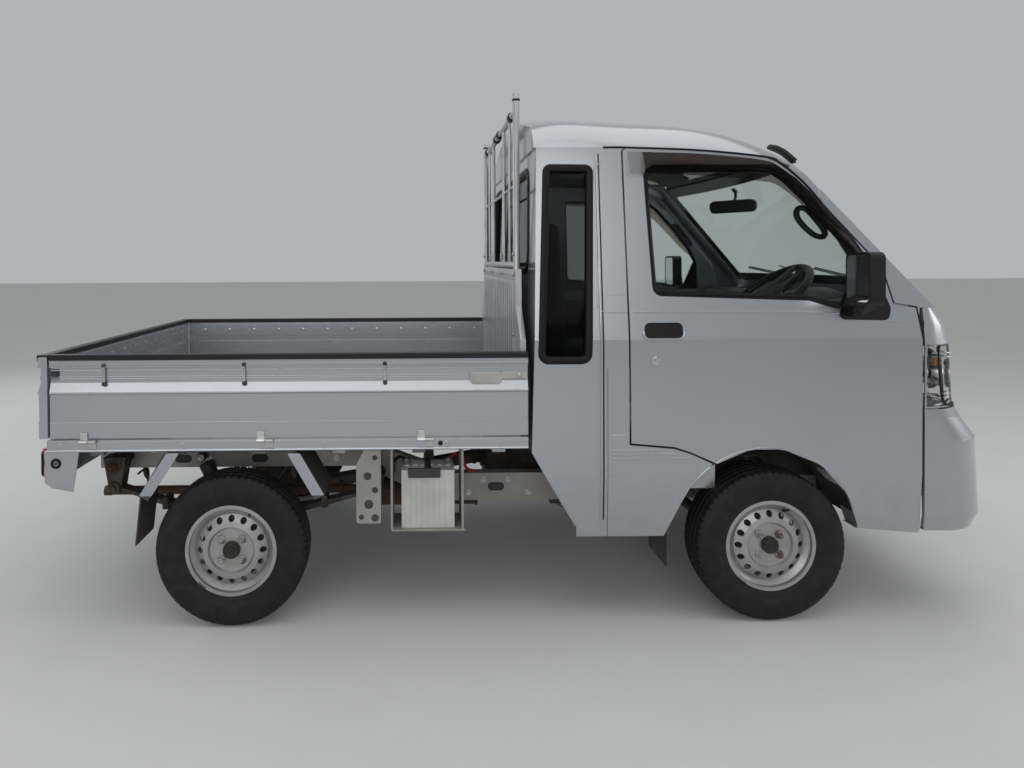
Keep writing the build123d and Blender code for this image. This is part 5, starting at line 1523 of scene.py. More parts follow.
for x in (-0.064, 0.0, 0.064):
    knobs.lathe(at(heater, x, 0.0, 0.004),
        turned((0.017, 0), (0.016, 0.008), (0.013, 0.016), (0.0115, 0.0175)), 32)
    knobs.slab(at(heater, x, 0.0, 0.0215), rect(-0.0012, 0.002, 0.0012, 0.011), 0.0008, 0.0, 0.0, 1)
radio.finish("radio_and_heater", "trim_dark")
knobs.finish("dash_knobs", "black_plastic")
glove = Form()
glove_place = at(DASH_LOW, -0.345, -0.11)
glove.slab(glove_place, rect(-0.205, -0.078, 0.205, 0.062), 0.0055, 0.014, 0.0025)
glove.slab(glove_place, rect(-0.04, 0.03, 0.04, 0.052), 0.0045, 0.006, 0.0015, 2, 0.0055)
glove.slab(at(DASH_LOW, 0.36, -0.118), [(-0.185, -0.07), (0.185, -0.07), (0.16, 0.02),
    (-0.16, 0.02)], 0.005, 0.014, 0.0025)
glove.finish("glove_box", "trim_grey")
top_pad = Form()
rows = []
for y in (-0.604, -0.5, 0.0, 0.5, 0.604):
    drop = 0.006 if abs(y) > 0.55 else 0.0
    rows.append([(1.1815, y, 1.1215 - drop), (1.24, y, 1.129 - drop), (1.3, y, 1.1325 - drop),
        (1.386, y, 1.083 - drop), (1.384, y, 1.0765), (1.3, y, 1.124), (1.24, y, 1.12),
        (1.1835, y, 1.115)])
top_pad.loops(rows)
for k in range(16):
    y = -0.24 + 0.032 * k
    top_pad.slab(plane((1.338, y, 1.1106), (0.08, 0, -0.0455), (0, 1, 0)),
        rect(-0.018, -0.004, 0.018, 0.004), 0.0018, 0.003, 0.0005, 1, -0.0006)
top_pad.finish("dash_top", "trim_dark")

# Steering wheel: horn pad, spoke covers; stalks and shroud on the column
TILT = radians(40.0)
wheel_back = Vector((sin(TILT), 0, -cos(TILT)))
WHEEL_CENTRE = Vector((1.035, -0.35, 1.125))
wheel_face = plane(WHEEL_CENTRE - wheel_back * 0.004, (0, -1, 0),
    Vector((0, -1, 0)).cross(wheel_back) * -1)
pad = Form()
pad.slab(wheel_face, [(-0.062, -0.06), (0.062, -0.06), (0.08, 0.02), (0.05, 0.052), (-0.05, 0.052),
    (-0.08, 0.02)], 0.022, 0.024, 0.01, 4, -0.018)
pad.lathe(wheel_face, [(0, 0.004), (0.026, 0.004), (0.024, 0.0062), (0.0, 0.0068)], 36)
for angle in (pi / 2 * 3, pi / 6, pi * 5 / 6):
    direction = Vector((cos(angle), sin(angle)))
    across_way = Vector((-direction.y, direction.x))
    corners = [direction * 0.05 - across_way * 0.022, direction * 0.168 - across_way * 0.013,
        direction * 0.168 + across_way * 0.013, direction * 0.05 + across_way * 0.022]
    pad.slab(wheel_face, corners, 0.013, 0.004, 0.004, 3, -0.02)
pad.finish("horn_pad", "grip", "steering_wheel")
stalks = Form()
column = WHEEL_CENTRE + wheel_back * 0.075
for side in (-1, 1):
    start = column + Vector((0, side * 0.036, 0))
    stalks.tube([start, start + Vector((0.006, side * 0.05, 0.01)),
        start + Vector((0.004, side * 0.11, 0.022)), start + Vector((0.004, side * 0.142, 0.026))],
        [0.0055, 0.005, 0.0065, 0.0075])
stalks.lathe(plane(column + wheel_back * 0.125, (0, 1, 0), Vector((0, 1, 0)).cross(wheel_back)),
    [(0.03, 0.0), (0.052, 0.002), (0.058, 0.06), (0.06, 0.155), (0.054, 0.16), (0.04, 0.16),
    (0.03, 0.15)], 32)
stalks.finish("column_stalks", "trim_dark")

# Pedals, gear lever, handbrake, floor mats
pedals, arms = Form(), Form()
for y, wide in ((-0.47, 0.026), (-0.37, 0.03), (-0.262, 0.022)):
    spot = plane((1.192, y, 0.61), (0, -1, 0), (0.55, 0, 0.83))
    high = 0.062 if wide < 0.025 else 0.03
    pedals.slab(spot, rect(-wide, -high, wide, high), 0.012, 0.006, 0.003)
    for k in range(5):
        z = -high * 0.7 + high * 0.35 * k
        pedals.slab(spot, rect(-wide * 0.8, z - 0.002, wide * 0.8, z + 0.002), 0.0025, 0.0, 0.0008,
            1, 0.012)
    arms.tube(at_y(y, (1.2, 0.612), (1.235, 0.68), (1.262, 0.78), (1.262, 0.872)), 0.0065, flat=1.4)
pedals.finish("pedals", "rubber")
arms.finish("pedal_arms", "chassis")
lever = Form()
lever.lathe(plane((0.985, 0.0, 0.478), *UPWARD),
    [(0, 0), (0.06, 0), (0.056, 0.008), (0.04, 0.022), (0.036, 0.034), (0.026, 0.046),
    (0.024, 0.06), (0.014, 0.072), (0, 0.074)], 36)
lever.tube(at_y(0, (0.985, 0.545), (0.978, 0.64), (0.95, 0.76), (0.93, 0.85)), 0.0068)
lever.lathe(plane((0.93, 0.0, 0.842), *UPWARD),
    [(0, 0), (0.012, 0), (0.018, 0.012), (0.022, 0.03), (0.02, 0.046), (0.011, 0.054), (0, 0.055)],
    28)
lever.tube(at_y(0, (0.33, 0.792), (0.43, 0.812), (0.52, 0.86), (0.56, 0.885)), 0.009, flat=1.3)
lever.tube([(0.55, 0, 0.879), (0.6, 0, 0.905), (0.66, 0, 0.936)], [0.0125, 0.014, 0.0145, 0.0135],
    flat=1.1)
lever.box((0.3, -0.04, 0.779), (0.44, 0.04, 0.8), 0.006)
lever.finish("levers", "trim_dark")
mats = Form()
for side in (-1, 1):
    low, high = sorted((side * 0.05, side * 0.4))
    mats.box((0.712, low, 0.4802), (1.222, high, 0.4865), 0.003)
    for k in range(14):
        y = low + 0.02 + k * (high - low - 0.04) / 13
        mats.box((0.735, y - 0.003, 0.4862), (1.2, y + 0.003, 0.489), 0.0012, 1)
mats.finish("floor_mats", "mat")

# Door trims: armrest, winder, pull and pocket on the inner face of each door
trim = Form()
inner_face = plane((0, -0.652, 0), *LEFTWARD)
trim.slab(inner_face, [(-1.3, 0.7), (-0.42, 0.7), (-0.395, 1.06), (-1.29, 1.05)], 0.006, 0.03,
    0.002)
trim.slab(inner_face, rect(-0.9, 0.905, -0.52, 0.95), 0.048, 0.018, 0.01, 3)
trim.slab(inner_face, [(-1.18, 0.72), (-0.56, 0.72), (-0.56, 0.8), (-1.16, 0.8)], 0.026, 0.02,
    0.006)
trim.pair("door_trim", "trim_grey", DOORS)
winder = Form()
winder.lathe(at(inner_face, -1.02, 0.9, 0.006),
    [(0, 0), (0.03, 0), (0.027, 0.01), (0.012, 0.018), (0, 0.019)], 32)
winder.tube([(1.02, -0.631, 0.9), (0.985, -0.624, 0.88), (0.935, -0.618, 0.85)], 0.0065, flat=0.8)
winder.lathe(plane((0.935, -0.623, 0.85), *LEFTWARD),
    [(0, 0), (0.009, 0), (0.012, 0.01), (0.012, 0.026), (0.009, 0.032), (0, 0.033)], 24)
winder.slab(inner_face, rect(-0.66, 0.975, -0.54, 1.01), 0.012, 0.012, 0.004)
winder.pair("door_winder", "trim_dark", DOORS)

# Grip handles on the pillars, room mirror and sun visors
Form().tube([(1.02, -0.604, 1.4616), (1.022, -0.59, 1.4392), (1.042, -0.582, 1.412),
    (1.074, -0.582, 1.38), (1.096, -0.59, 1.3624), (1.112, -0.606, 1.36), (1.108, -0.618, 1.38),
    (1.072, -0.622, 1.425), (1.04, -0.618, 1.46)], 0.0105, closed=True).pair("grip_handle",
    "trim_dark")
room = Form()
mirror_plane = plane((1.062, 0.0, 1.522), (0.62, -0.78, 0), (0, 0.0, 1))
room.slab(mirror_plane, [(-0.105, -0.032), (0.105, -0.032), (0.112, 0.026), (-0.112, 0.026)], 0.022,
    0.022, 0.008, 3, -0.011)
room.tube([(1.066, 0.0, 1.536), (1.075, 0.0, 1.566), (1.07, 0.0, 1.592)], 0.006)
room.lathe(plane((1.072, 0.0, 1.592), *OFF_SCREEN),
    [(0, -0.008), (0.016, -0.006), (0.014, 0.004), (0, 0.007)], 24)
room.finish("room_mirror", "trim_dark")
visors = Form()
for side in (-1, 1):
    visors.slab(plane((0.865, side * 0.33, 1.688), (0, 1, 0), (0.8, 0, -0.3)),
        rect(-0.17, -0.07, 0.17, 0.07), 0.014, 0.02, 0.005, 3, -0.007)
    visors.tube([(0.805, side * 0.16, 1.712), (0.805, side * 0.33, 1.712),
        (0.805, side * 0.5, 1.712)], 0.005)
visors.finish("sun_visors", "canvas")

# Seats: foam pads blown up from slightly smaller blocks, held down along their sewn channels
SEAT_Y = 0.345
CUSHION = [(0.15, 0.784), (0.64, 0.784), (0.66, 0.85), (0.63, 0.89), (0.2, 0.86), (0.15, 0.84)]
BACK = [(0.092, 0.896), (0.2, 0.896), (0.16, 1.42), (0.088, 1.42)]
VOXEL = 0.0075
SIM_FRAMES = 20
SWELL_LIMIT = 0.024


def start_block(corners, half, shrink):
    """The pad before it swells: its CAD outline, set in all round."""
    area = sum(a[0] * b[1] - b[0] * a[1] for a, b in zip(corners, corners[1:] + corners[:1]))
    outline = grown([Vector(c) for c in (corners if area > 0 else corners[::-1])], -shrink)
    block = Form().slab(plane((0, 0, 0), *RIGHTWARD), outline, 2 * (half - shrink), 0.022, 0.014, 3,
        shrink - half)
    mesh = bpy.data.meshes.new("pad_block")
    block.mesh.to_mesh(mesh)
    block.mesh.free()
    holder = bpy.data.objects.new("pad_block", mesh)
    bpy.context.scene.collection.objects.link(holder)
    remesh = holder.modifiers.new("voxels", "REMESH")
    remesh.mode = "VOXEL"
    remesh.voxel_size = VOXEL
    graph = bpy.context.evaluated_depsgraph_get()
    voxels = bpy.data.meshes.new_from_object(holder.evaluated_get(graph))
    holder.modifiers.clear()
    holder.data = voxels
    return holder


def swell(corners, half, shrink, held):
    """Blows a pad up with cloth pressure and returns its points and faces."""
    holder = start_block(corners, half, shrink)
    start = [vert.co.copy() for vert in holder.data.vertices]
    group = holder.vertex_groups.new(name="held")
    group.add([index for index, point in enumerate(start) if held(point)], 1.0, "REPLACE")
    cloth = holder.modifiers.new("cloth", "CLOTH")
    cloth.settings.quality = 4
    cloth.settings.use_pressure = True
    cloth.settings.uniform_pressure_force = 4.0
    cloth.settings.vertex_group_mass = "held"
    cloth.settings.effector_weights.gravity = 0.0
    cloth.collision_settings.use_collision = False
    scene = bpy.context.scene
    for frame_number in range(1, SIM_FRAMES + 1):
        scene.frame_set(frame_number)
    graph = bpy.context.evaluated_depsgraph_get()
    swollen = [vert.co.copy() for vert in holder.evaluated_get(graph).data.vertices]
    scene.frame_set(1)
    low_x, high_x = min(c[0] for c in corners), max(c[0] for c in corners)
    low_z, high_z = min(c[1] for c in corners), max(c[1] for c in corners)
    points = []
    for before, after in zip(start, swollen):
        move = after - before
        if move.length > SWELL_LIMIT:
            move *= SWELL_LIMIT / move.length
        spot = before + move
        spot.x = min(max(spot.x, low_x + 0.001), high_x - 0.001)
        spot.y = min(max(spot.y, 0.001 - half), half - 0.001)
        spot.z = min(max(spot.z, low_z + 0.001), high_z - 0.001)
        points.append(spot)
    faces = [tuple(face.vertices) for face in holder.data.polygons]
    bpy.data.objects.remove(holder)
    return points, faces


CUSHION_SEAMS_X = (0.29, 0.385, 0.48, 0.575)
BACK_SEAMS_Z = (0.985, 1.065, 1.145, 1.225)
SIDE_SEAM = 0.158


def cushion_held(point):
    if point.z < 0.812:
        return True
    top = point.z > 0.835
    across = abs(point.y) < SIDE_SEAM and any(abs(point.x - x) < VOXEL * 0.6
        for x in CUSHION_SEAMS_X)
    along = abs(abs(point.y) - SIDE_SEAM) < VOXEL * 0.6 and 0.2 < point.x
    return top and (across or along)


def back_held(point):
    if point.x < 0.108:
        return True
    front = point.x > 0.125
    across = abs(point.y) < SIDE_SEAM and any(abs(point.z - z) < VOXEL * 0.6 for z in BACK_SEAMS_Z)
    along = abs(abs(point.y) - SIDE_SEAM) < VOXEL * 0.6 and point.z < 1.3
    top_seam = abs(point.z - 1.3) < VOXEL * 0.6
    return front and (across or along or top_seam)


pads = (swell(CUSHION, 0.24, 0.016, cushion_held), swell(BACK, 0.235, 0.014, back_held))


def surface_tree(points, faces, shift):
    return BVHTree.FromPolygons([point + shift for point in points], faces)


def spaced(start, end, parts):
    return [start + (end - start) * k / parts for k in range(parts + 1)]


for side, label in ((-1, "right"), (1, "left")):
    shift = Vector((0, side * SEAT_Y, 0))
    merged, merged_faces = [], []
    for points, faces in pads:
        base = len(merged)
        merged += [point + shift for point in points]
        merged_faces += [tuple(base + index for index in face) for face in faces]
    mesh = bpy.data.meshes.new(f"seat_{label}_pads")
    mesh.from_pydata(merged, [], merged_faces)
    mesh.shade_smooth()
    mesh.materials.append(finishes["seat_cloth"])
    seat = bpy.data.objects.new(f"seat_{label}_pads", mesh)
    bpy.context.scene.collection.objects.link(seat)
    rounded = seat.modifiers.new("rounded", "SUBSURF")
    rounded.levels = rounded.render_levels = 1
    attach(seat, "truck")
    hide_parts(f"seat_{label}")
    seams = Form()
    (cushion_points, cushion_faces), (back_points, back_faces) = pads
    top = surface_tree(cushion_points, cushion_faces, shift)
    front = surface_tree(back_points, back_faces, shift)

    def on_top(x, y):
        hit = top.ray_cast(Vector((x, side * SEAT_Y + y, 1.0)), Vector((0, 0, -1)))[0]
        return hit - Vector((0, 0, 0.0008)) if hit else None

    def on_front(z, y):
        hit = front.ray_cast(Vector((0.4, side * SEAT_Y + y, z)), Vector((-1, 0, 0)))[0]
        return hit - Vector((0.0008, 0, 0)) if hit else None

    across = spaced(-SIDE_SEAM, SIDE_SEAM, 16)
    lines = [[on_top(x, y) for y in across] for x in CUSHION_SEAMS_X]
    lines += [[on_top(x, y) for x in spaced(0.215, 0.63, 16)] for y in (-SIDE_SEAM, SIDE_SEAM)]
    lines += [[on_front(z, y) for y in across] for z in BACK_SEAMS_Z]
    lines += [[on_front(z, y) for z in spaced(0.925, 1.3, 16)] for y in (-SIDE_SEAM, SIDE_SEAM)]
    lines += [[on_front(1.3, y) for y in spaced(-0.222, 0.222, 20)]]
    for line in lines:
        found = [spot for spot in line if spot]
        if len(found) > 3:
            seams.tube(found, 0.0019, sides=6, steps=1)
    seams.finish(f"seat_seams_{label}", "trim_dark")
    base = Form()
    for y in (-0.17, 0.17):
        base.box((0.18, side * SEAT_Y + y - 0.018, 0.7795), (0.6, side * SEAT_Y + y + 0.018, 0.786),
            0.002)
    for y in (0.2435, -0.2435):
        base.box((0.15, side * SEAT_Y + y - 0.003, 0.782), (0.26, side * SEAT_Y + y + 0.003, 0.93),
            0.002)
    base.finish(f"seat_runner_{label}", "chassis")

# Soft edges on the solids: shared corners joined, sharp edges eased by a few millimetres
for name, width in (("door_left", 0.0022), ("door_right", 0.0022), ("bed_floor", 0.0018),
        ("headboard", 0.0012), ("rear_bumper", 0.0016), ("chassis_frame", 0.0016),
        ("battery_tray", 0.001), ("dashboard", 0.004)):
    node = nodes.get(name)
    if node is None:
        continue
    weld = node.modifiers.new("joined_corners", "WELD")
    weld.merge_threshold = 0.00002
    ease = node.modifiers.new("eased_edges", "BEVEL")
    ease.width, ease.segments, ease.limit_method, ease.angle_limit = width, 2, "ANGLE", radians(35)
    ease.use_clamp_overlap, ease.miter_outer, ease.harden_normals = True, "MITER_ARC", True

# Joint of the cab's front and rear parts: a groove with a bead beside it, down each side. The
# groove's shade is painted: a black tube darkens it
joint_groove, joint_bead = Form(), Form()
joint_heights = (0.372, 0.52, 1.0, 1.095, 1.655)
joint_groove.tube([on_side(0.268, z, -0.001) for z in joint_heights], 0.0026, steps=0, sides=10)
joint_bead.tube([on_side(0.26, z, -0.0016) for z in joint_heights], 0.0056, steps=0, sides=14)
joint_groove.pair("cab_joint_groove_shade", "seal_rubber")
joint_bead.pair("cab_joint_bead", "paint")

# Headboard: upright ribs pressed in its panel, and slots above them, whose shade is painted as thin
# dark plates
board_back = plane((-0.016, 0.0, 0.0), *REARWARD)
flutes, slot_shades = Form(), Form()
for index in range(19):
    y = (index - 9) * 0.058
    flutes.slab(board_back, rect(y - 0.013, 0.74, y + 0.013, 1.19), 0.0035, 0.01, 0.0016)
    slot_shades.slab(board_back, rect(y - 0.004, 1.203, y + 0.004, 1.226), 0.0006, 0.0035, 0.0)
flutes.finish("headboard_flutes", "silver_tube")
slot_shades.finish("headboard_slot_shades", "trim_dark")

# Rear axle and springs: U-bolts and spring plates, shock absorbers, leaf clips, shackle pins
ubolts, dampers, rods, pins = Form(), Form(), Form(), Form()
for x in (REAR_AXLE - 0.042, REAR_AXLE + 0.042):
    ubolts.tube(at_x(x, (-0.512, 0.226), (-0.512, 0.32), (-0.509, 0.332), (-0.48, 0.338),
        (-0.451, 0.332), (-0.448, 0.32), (-0.448, 0.226)), 0.0056)
    for y in (-0.512, -0.448):
        ubolts.bolt(plane((x, y, 0.231), *DOWNWARD), 0.0095, 0.01)
ubolts.box((REAR_AXLE - 0.06, -0.524, 0.2305), (REAR_AXLE + 0.06, -0.436, 0.2385), 0.002)
for shift, high in ((-0.17, 0.3385), (0.17, 0.3385), (-0.3, 0.372), (0.3, 0.372)):
    x = REAR_AXLE + shift
    ubolts.box((x - 0.012, -0.51, high - 0.03), (x + 0.012, -0.45, high + 0.016), 0.002)
low_eye = Vector((REAR_AXLE - 0.055, -0.425, 0.245))
high_eye = Vector((REAR_AXLE - 0.185, -0.432, 0.52))
damper_run = high_eye - low_eye
damper = plane(low_eye, Vector((0, 1, 0)), damper_run.cross(Vector((0, 1, 0))))
length = damper_run.length
dampers.lathe(damper, turned((0.022, 0.03), (0.0235, 0.036), (0.0235, length * 0.55),
    (0.022, length * 0.56)), 28)
dampers.lathe(damper, turned((0.0285, length * 0.5), (0.0285, length - 0.034),
    (0.024, length - 0.028)), 28)
for spot in (low_eye, high_eye):
    dampers.lathe(plane(spot + Vector((0, 0.019, 0)), *RIGHTWARD), rect(0.008, 0, 0.0175, 0.038),
        24)
    rods.bolt(plane(spot + Vector((0, -0.021, 0)), *RIGHTWARD), 0.0095, 0.008)
    rods.lathe(plane(spot + Vector((0, 0.026, 0)), *RIGHTWARD), rect(0, 0, 0.0078, 0.05), 16)
for x, z in ((REAR_AXLE - 0.49, 0.426), (REAR_AXLE + 0.49, 0.406), (REAR_AXLE - 0.5, 0.5)):
    pins.lathe(plane((x, -0.515, z), *RIGHTWARD),
        turned((0.022, -0.002), (0.022, 0.002), (0.018, 0.004)), 28)
    pins.bolt(plane((x, -0.5185, z), *RIGHTWARD), 0.012, 0.0095)
ubolts.pair("spring_clamps", "iron")
dampers.pair("rear_dampers", "chassis")
rods.pair("damper_bolts", "zinc")
pins.pair("shackle_pins", "rusty_steel")

# Brake pipes on the axle and along the frame, and the bump stops
lines = Form()
pipe = [(REAR_AXLE + 0.03, -0.52, 0.3), (REAR_AXLE + 0.045, -0.43, 0.312),
    (REAR_AXLE + 0.04, -0.25, 0.306), (REAR_AXLE + 0.05, -0.14, 0.33)]
lines.tube(pipe, 0.0026)
PIPE_Y = -0.349
for rise, shift, radius in ((0, 0, 0.0028), (0.014, 0.004, 0.0036)):
    bend = at_y(PIPE_Y, (shift - 0.56, 0.44 + rise), (shift - 0.3, 0.345 + rise),
        (-0.2, 0.3425 + rise), (1.3, 0.3425 + rise))
    lines.tube(at_y(-0.35, (-1.56, 0.47 + rise), (-0.62, 0.47 + rise)) + bend, radius)
lines.tube([(REAR_AXLE + 0.05, -0.14, 0.33), (REAR_AXLE + 0.12, -0.2, 0.42),
    (REAR_AXLE + 0.2, -0.345, 0.47)], 0.0058)
lines.pair("brake_pipes", "black_plastic")
Form().lathe(plane((REAR_AXLE, -0.41, 0.452), *DOWNWARD),
    [(0, 0), (0.03, 0), (0.03, 0.01), (0.02, 0.034), (0.026, 0.048), (0.014, 0.066), (0, 0.07)],
    28).pair("bump_stops", "rubber")

# Front suspension: coil springs, ball joints, tie rods and the rack with its bellows
coils, joints_piece, bars = Form(), Form(), Form()
foot, head = Vector((FRONT_AXLE, -0.5395, 0.392)), Vector((FRONT_AXLE, -0.517, 0.622))
run = head - foot
COIL_TURNS, COIL_RADIUS, TURN_STEPS = 5.5, 0.054, 16
helix = []
for k in range(int(COIL_TURNS * TURN_STEPS) + 1):
    angle = 2 * pi * k / TURN_STEPS
    helix.append(foot + run * (k / (COIL_TURNS * TURN_STEPS)) +
        Vector((COIL_RADIUS * cos(angle), COIL_RADIUS * sin(angle), 0)))
coils.tube(helix, 0.0055, steps=0, sides=10)
coils.lathe(plane(foot - run.normalized() * 0.008, (1, 0, 0), run.cross(Vector((1, 0, 0)))),
    [(0.024, 0), (0.066, 0.004), (0.068, 0.01), (0.062, 0.008), (0.024, 0.004)], 32)
coils.pair("front_springs", "chassis")
joints_piece.lathe(plane((FRONT_AXLE, -0.574, 0.166), *UPWARD),
    [(0, -0.014), (0.018, -0.012), (0.022, 0.0), (0.018, 0.014), (0, 0.018)], 28)
for x in (0.835, 0.897):
    joints_piece.bolt(plane((x, -0.325, 0.2285), *DOWNWARD), 0.01, 0.008)
joints_piece.pair("ball_joints", "iron")
RACK_X, RACK_Z = 0.76, 0.246
bars.tube([(RACK_X, -0.305, RACK_Z), (0.745, -0.42, 0.236), (0.76, -0.505, 0.23)], 0.0085)
bars.tube([(1.085, -0.3, 0.3), (1.08, -0.36, 0.262), (1.0, -0.47, 0.206), (0.89, -0.53, 0.18)],
    0.0095)
bars.pair("tie_rods", "iron")
rack = Form()
rack.tube([(RACK_X, y, RACK_Z) for y in (-0.31, 0.0, 0.31)], 0.021, sides=20)
rack.tube([(1.085, -0.302, 0.3), (1.11, -0.2, 0.308), (1.11, 0.2, 0.308), (1.085, 0.302, 0.3)],
    0.0095, sides=14)
for side in (-1, 1):
    for k in range(6):
        rack.lathe(plane((RACK_X, side * (0.315 + 0.011 * k), RACK_Z), (0, 0, 1), (1, 0, 0)),
            [(0.01, -0.005), (0.024, 0.0), (0.01, 0.005)], 24)
rack.finish("steering_rack", "chassis")

# Propeller shaft joints, engine sump with its bolts, gearbox ribs, pulleys, belt and hose
shaft = Form()
for x, z in ((-0.1, 0.3935), (-0.86, 0.2715)):
    run = plane((x, 0, z), (0, 1, 0), (0.158, 0, 0.987))
    shaft.lathe(run, turned((0.038, -0.03), (0.042, -0.022), (0.042, -0.012), (0.034, -0.006),
        (0.034, 0.01), (0.046, 0.012), (0.046, 0.022), (0.03, 0.026)), 32)
    for k in range(4):
        shaft.bolt(at(run, 0.036 * cos(k * pi / 2), 0.036 * sin(k * pi / 2), 0.022), 0.006, 0.006)
shaft.finish("shaft_joints", "iron")
sump = Form()
sump.slab(plane((0, 0, 0.25), *DOWNWARD), rect(0.215, -0.17, 0.59, 0.19), 0.034, 0.04, 0.012, 3)
sump.lathe(plane((0.33, 0.06, 0.217), *DOWNWARD), turned((0.014, 0), (0.014, 0.005), (0.009, 0.01)),
    24)
for k in range(9):
    for y in (-0.2, 0.212):
        sump.bolt(plane((0.21 + 0.048 * k, y, 0.25), *DOWNWARD), 0.0065, 0.005)
for k in range(7):
    x = -0.06 + 0.034 * k
    sump.box((x - 0.0025, -0.11, 0.298), (x + 0.0025, 0.11, 0.306), 0.001, 1)
sump.lathe(plane((0.632, 0.09, 0.36), *FORWARD),
    turned((0.07, 0), (0.072, 0.005), (0.062, 0.01), (0.072, 0.015), (0.07, 0.02), (0.03, 0.02),
    (0.026, 0.012)), 40)
sump.lathe(plane((0.632, -0.11, 0.45), *FORWARD),
    turned((0.042, 0), (0.044, 0.005), (0.034, 0.01), (0.044, 0.015), (0.042, 0.02), (0.018, 0.02),
    (0.014, 0.012)), 36)
sump.finish("engine_details", "aluminium")
belt = Form()
belt.tube(at_x(0.642, (0.158, 0.345), (0.1, 0.432), (-0.09, 0.49), (-0.148, 0.47), (-0.14, 0.42),
    (0.05, 0.298), (0.13, 0.3)), 0.005, closed=True)
belt.tube([(0.56, -0.22, 0.56), (0.64, -0.26, 0.6), (0.76, -0.25, 0.56), (1.0, -0.24, 0.4),
    (1.25, -0.22, 0.38)], 0.019, sides=16)
belt.finish("engine_hoses", "rubber")

# Exhaust: seams round the silencer, flanges and hangers; fuel tank: straps, seam and filler
pipe_forms, loops_rubber = Form(), Form()
for x in (-0.56, -0.14):
    ring = round_corners(rect(-0.336, 0.274, -0.164, 0.386), 0.05, 8)
    pipe_forms.tube([(x, p.x, p.y) for p in ring], 0.0042, closed=True, steps=0)
for x in (-1.5, -0.8, 0.02):
    pipe_forms.tube(at_x(x, (-0.25, 0.352), (-0.262, 0.4), (-0.3, 0.428), (-0.352, 0.43)), 0.0045)
    loops_rubber.tube(at_x(x + 0.002, (-0.262, 0.388), (-0.285, 0.408), (-0.29, 0.432),
        (-0.266, 0.42)), 0.0075, closed=True)
for x in (-0.7, 0.12):
    pipe_forms.lathe(plane((x, -0.25, 0.33), *FORWARD), rect(0.017, 0, 0.034, 0.009), 28)
    pipe_forms.bolt(plane((x + 0.009, -0.25, 0.3565), *FORWARD), 0.006, 0.006)
pipe_forms.lathe(plane((-1.657, -0.25, 0.33), *FORWARD), rect(0.0145, -0.02, 0.0205, 0.006), 32)
pipe_forms.finish("exhaust_details", "rusty_steel")
loops_rubber.finish("exhaust_hangers", "rubber")
tank = Form()
for x in (-0.4, -0.16):
    ring = round_corners(rect(0.4275, 0.3225, 0.6925, 0.5575), 0.042, 6)
    tank.tube([(x, p.x, p.y) for p in ring], 0.01, closed=True, steps=0, flat=0.25)
tank_seam = rect(-0.492, 0.428, -0.068, 0.692)
tank.tube([(p.x, p.y, 0.44) for p in round_corners(tank_seam, 0.008)], 0.0045, closed=True, steps=0,
    flat=0.6)
tank.tube([(-0.12, 0.61, 0.53), (-0.1, 0.665, 0.56), (-0.08, 0.7, 0.6)], 0.016, sides=16)
tank.lathe(plane((-0.08, 0.7, 0.6), (1, 0, 0), (0, 0, -1)),
    turned((0.03, -0.01), (0.031, 0.008), (0.026, 0.014)), 32)
tank.finish("tank_details", "chassis")

# Battery: lid, ribs, terminals with their leads and its clamp; holed plate behind it
BATTERY_TOP, POST_Y, LEAD_Z = 0.537, -0.585, 0.548
EARTH_X, LIVE_X = -0.42, -0.266
case, posts, clamp, lead_cable = Form(), Form(), Form(), Form()
case.box((-0.438, -0.685, 0.518), (-0.248, -0.555, BATTERY_TOP), 0.004)
for k in range(9):
    x = -0.425 + 0.0205 * k
    case.box((x - 0.0012, -0.6847, 0.34), (x + 0.0012, -0.682, 0.512), 0.0008, 1)
for k in range(6):
    case.lathe(at(facing_up(BATTERY_TOP), -0.418 + 0.03 * k, -0.625),
        [(0, 0), (0.01, 0), (0.01, 0.004), (0, 0.0045)], 20)
case.finish("battery_lid", "battery_case")
for x in (EARTH_X, LIVE_X):
    posts.lathe(at(facing_up(BATTERY_TOP), x, POST_Y),
        [(0, 0), (0.009, 0), (0.008, 0.016), (0, 0.0165)], 24)
    posts.lathe(at(facing_up(0.54), x, POST_Y), rect(0.0088, 0, 0.0165, 0.01), 24)
    posts.bolt(plane((x, -0.604, 0.545), *RIGHTWARD), 0.0055, 0.006)
posts.finish("battery_posts", "lead")
clamp.box((-0.3545, -0.7, 0.5375), (-0.3315, -0.54, 0.543), 0.0015)
clamp.box((-0.413, -0.699, 0.513), (-0.299, -0.686, 0.546), 0.0025)
clamp.tube([(-0.343, -0.544, z) for z in (0.326, 0.44, 0.552)], 0.0034)
clamp.bolt(at(facing_up(0.543), -0.343, -0.544), 0.0065, 0.006)
clamp.finish("battery_clamp", "chassis")
lead_cable.tube([(EARTH_X, POST_Y, LEAD_Z), (-0.448, -0.57, 0.552), (-0.468, -0.53, 0.52),
    (-0.47, -0.46, 0.47), (-0.48, -0.412, 0.44)], 0.0058)
lead_cable.finish("earth_lead", "black_plastic")
live = Form().tube([(LIVE_X, POST_Y, LEAD_Z), (-0.236, -0.56, 0.56), (-0.21, -0.5, 0.54),
    (-0.19, -0.44, 0.47), (-0.15, -0.412, 0.445)], 0.0058)
live.finish("live_lead", "red_cable")
holed = Form()
holed.slab(facing_right(-0.69), [(-0.596, 0.352), (-0.509, 0.352), (-0.509, 0.627), (-0.56, 0.627),
    (-0.596, 0.56)], 0.003, 0.01, 0.001)
holed.slab(facing_right(-0.656), rect(-0.518, 0.352, -0.509, 0.627), 0.035, 0.0, 0.001)
holed.pair("holed_plate", "frame_grey")
# Painted shade: black discs stand in for the dark seen through the holed plate's holes
holes = Form()
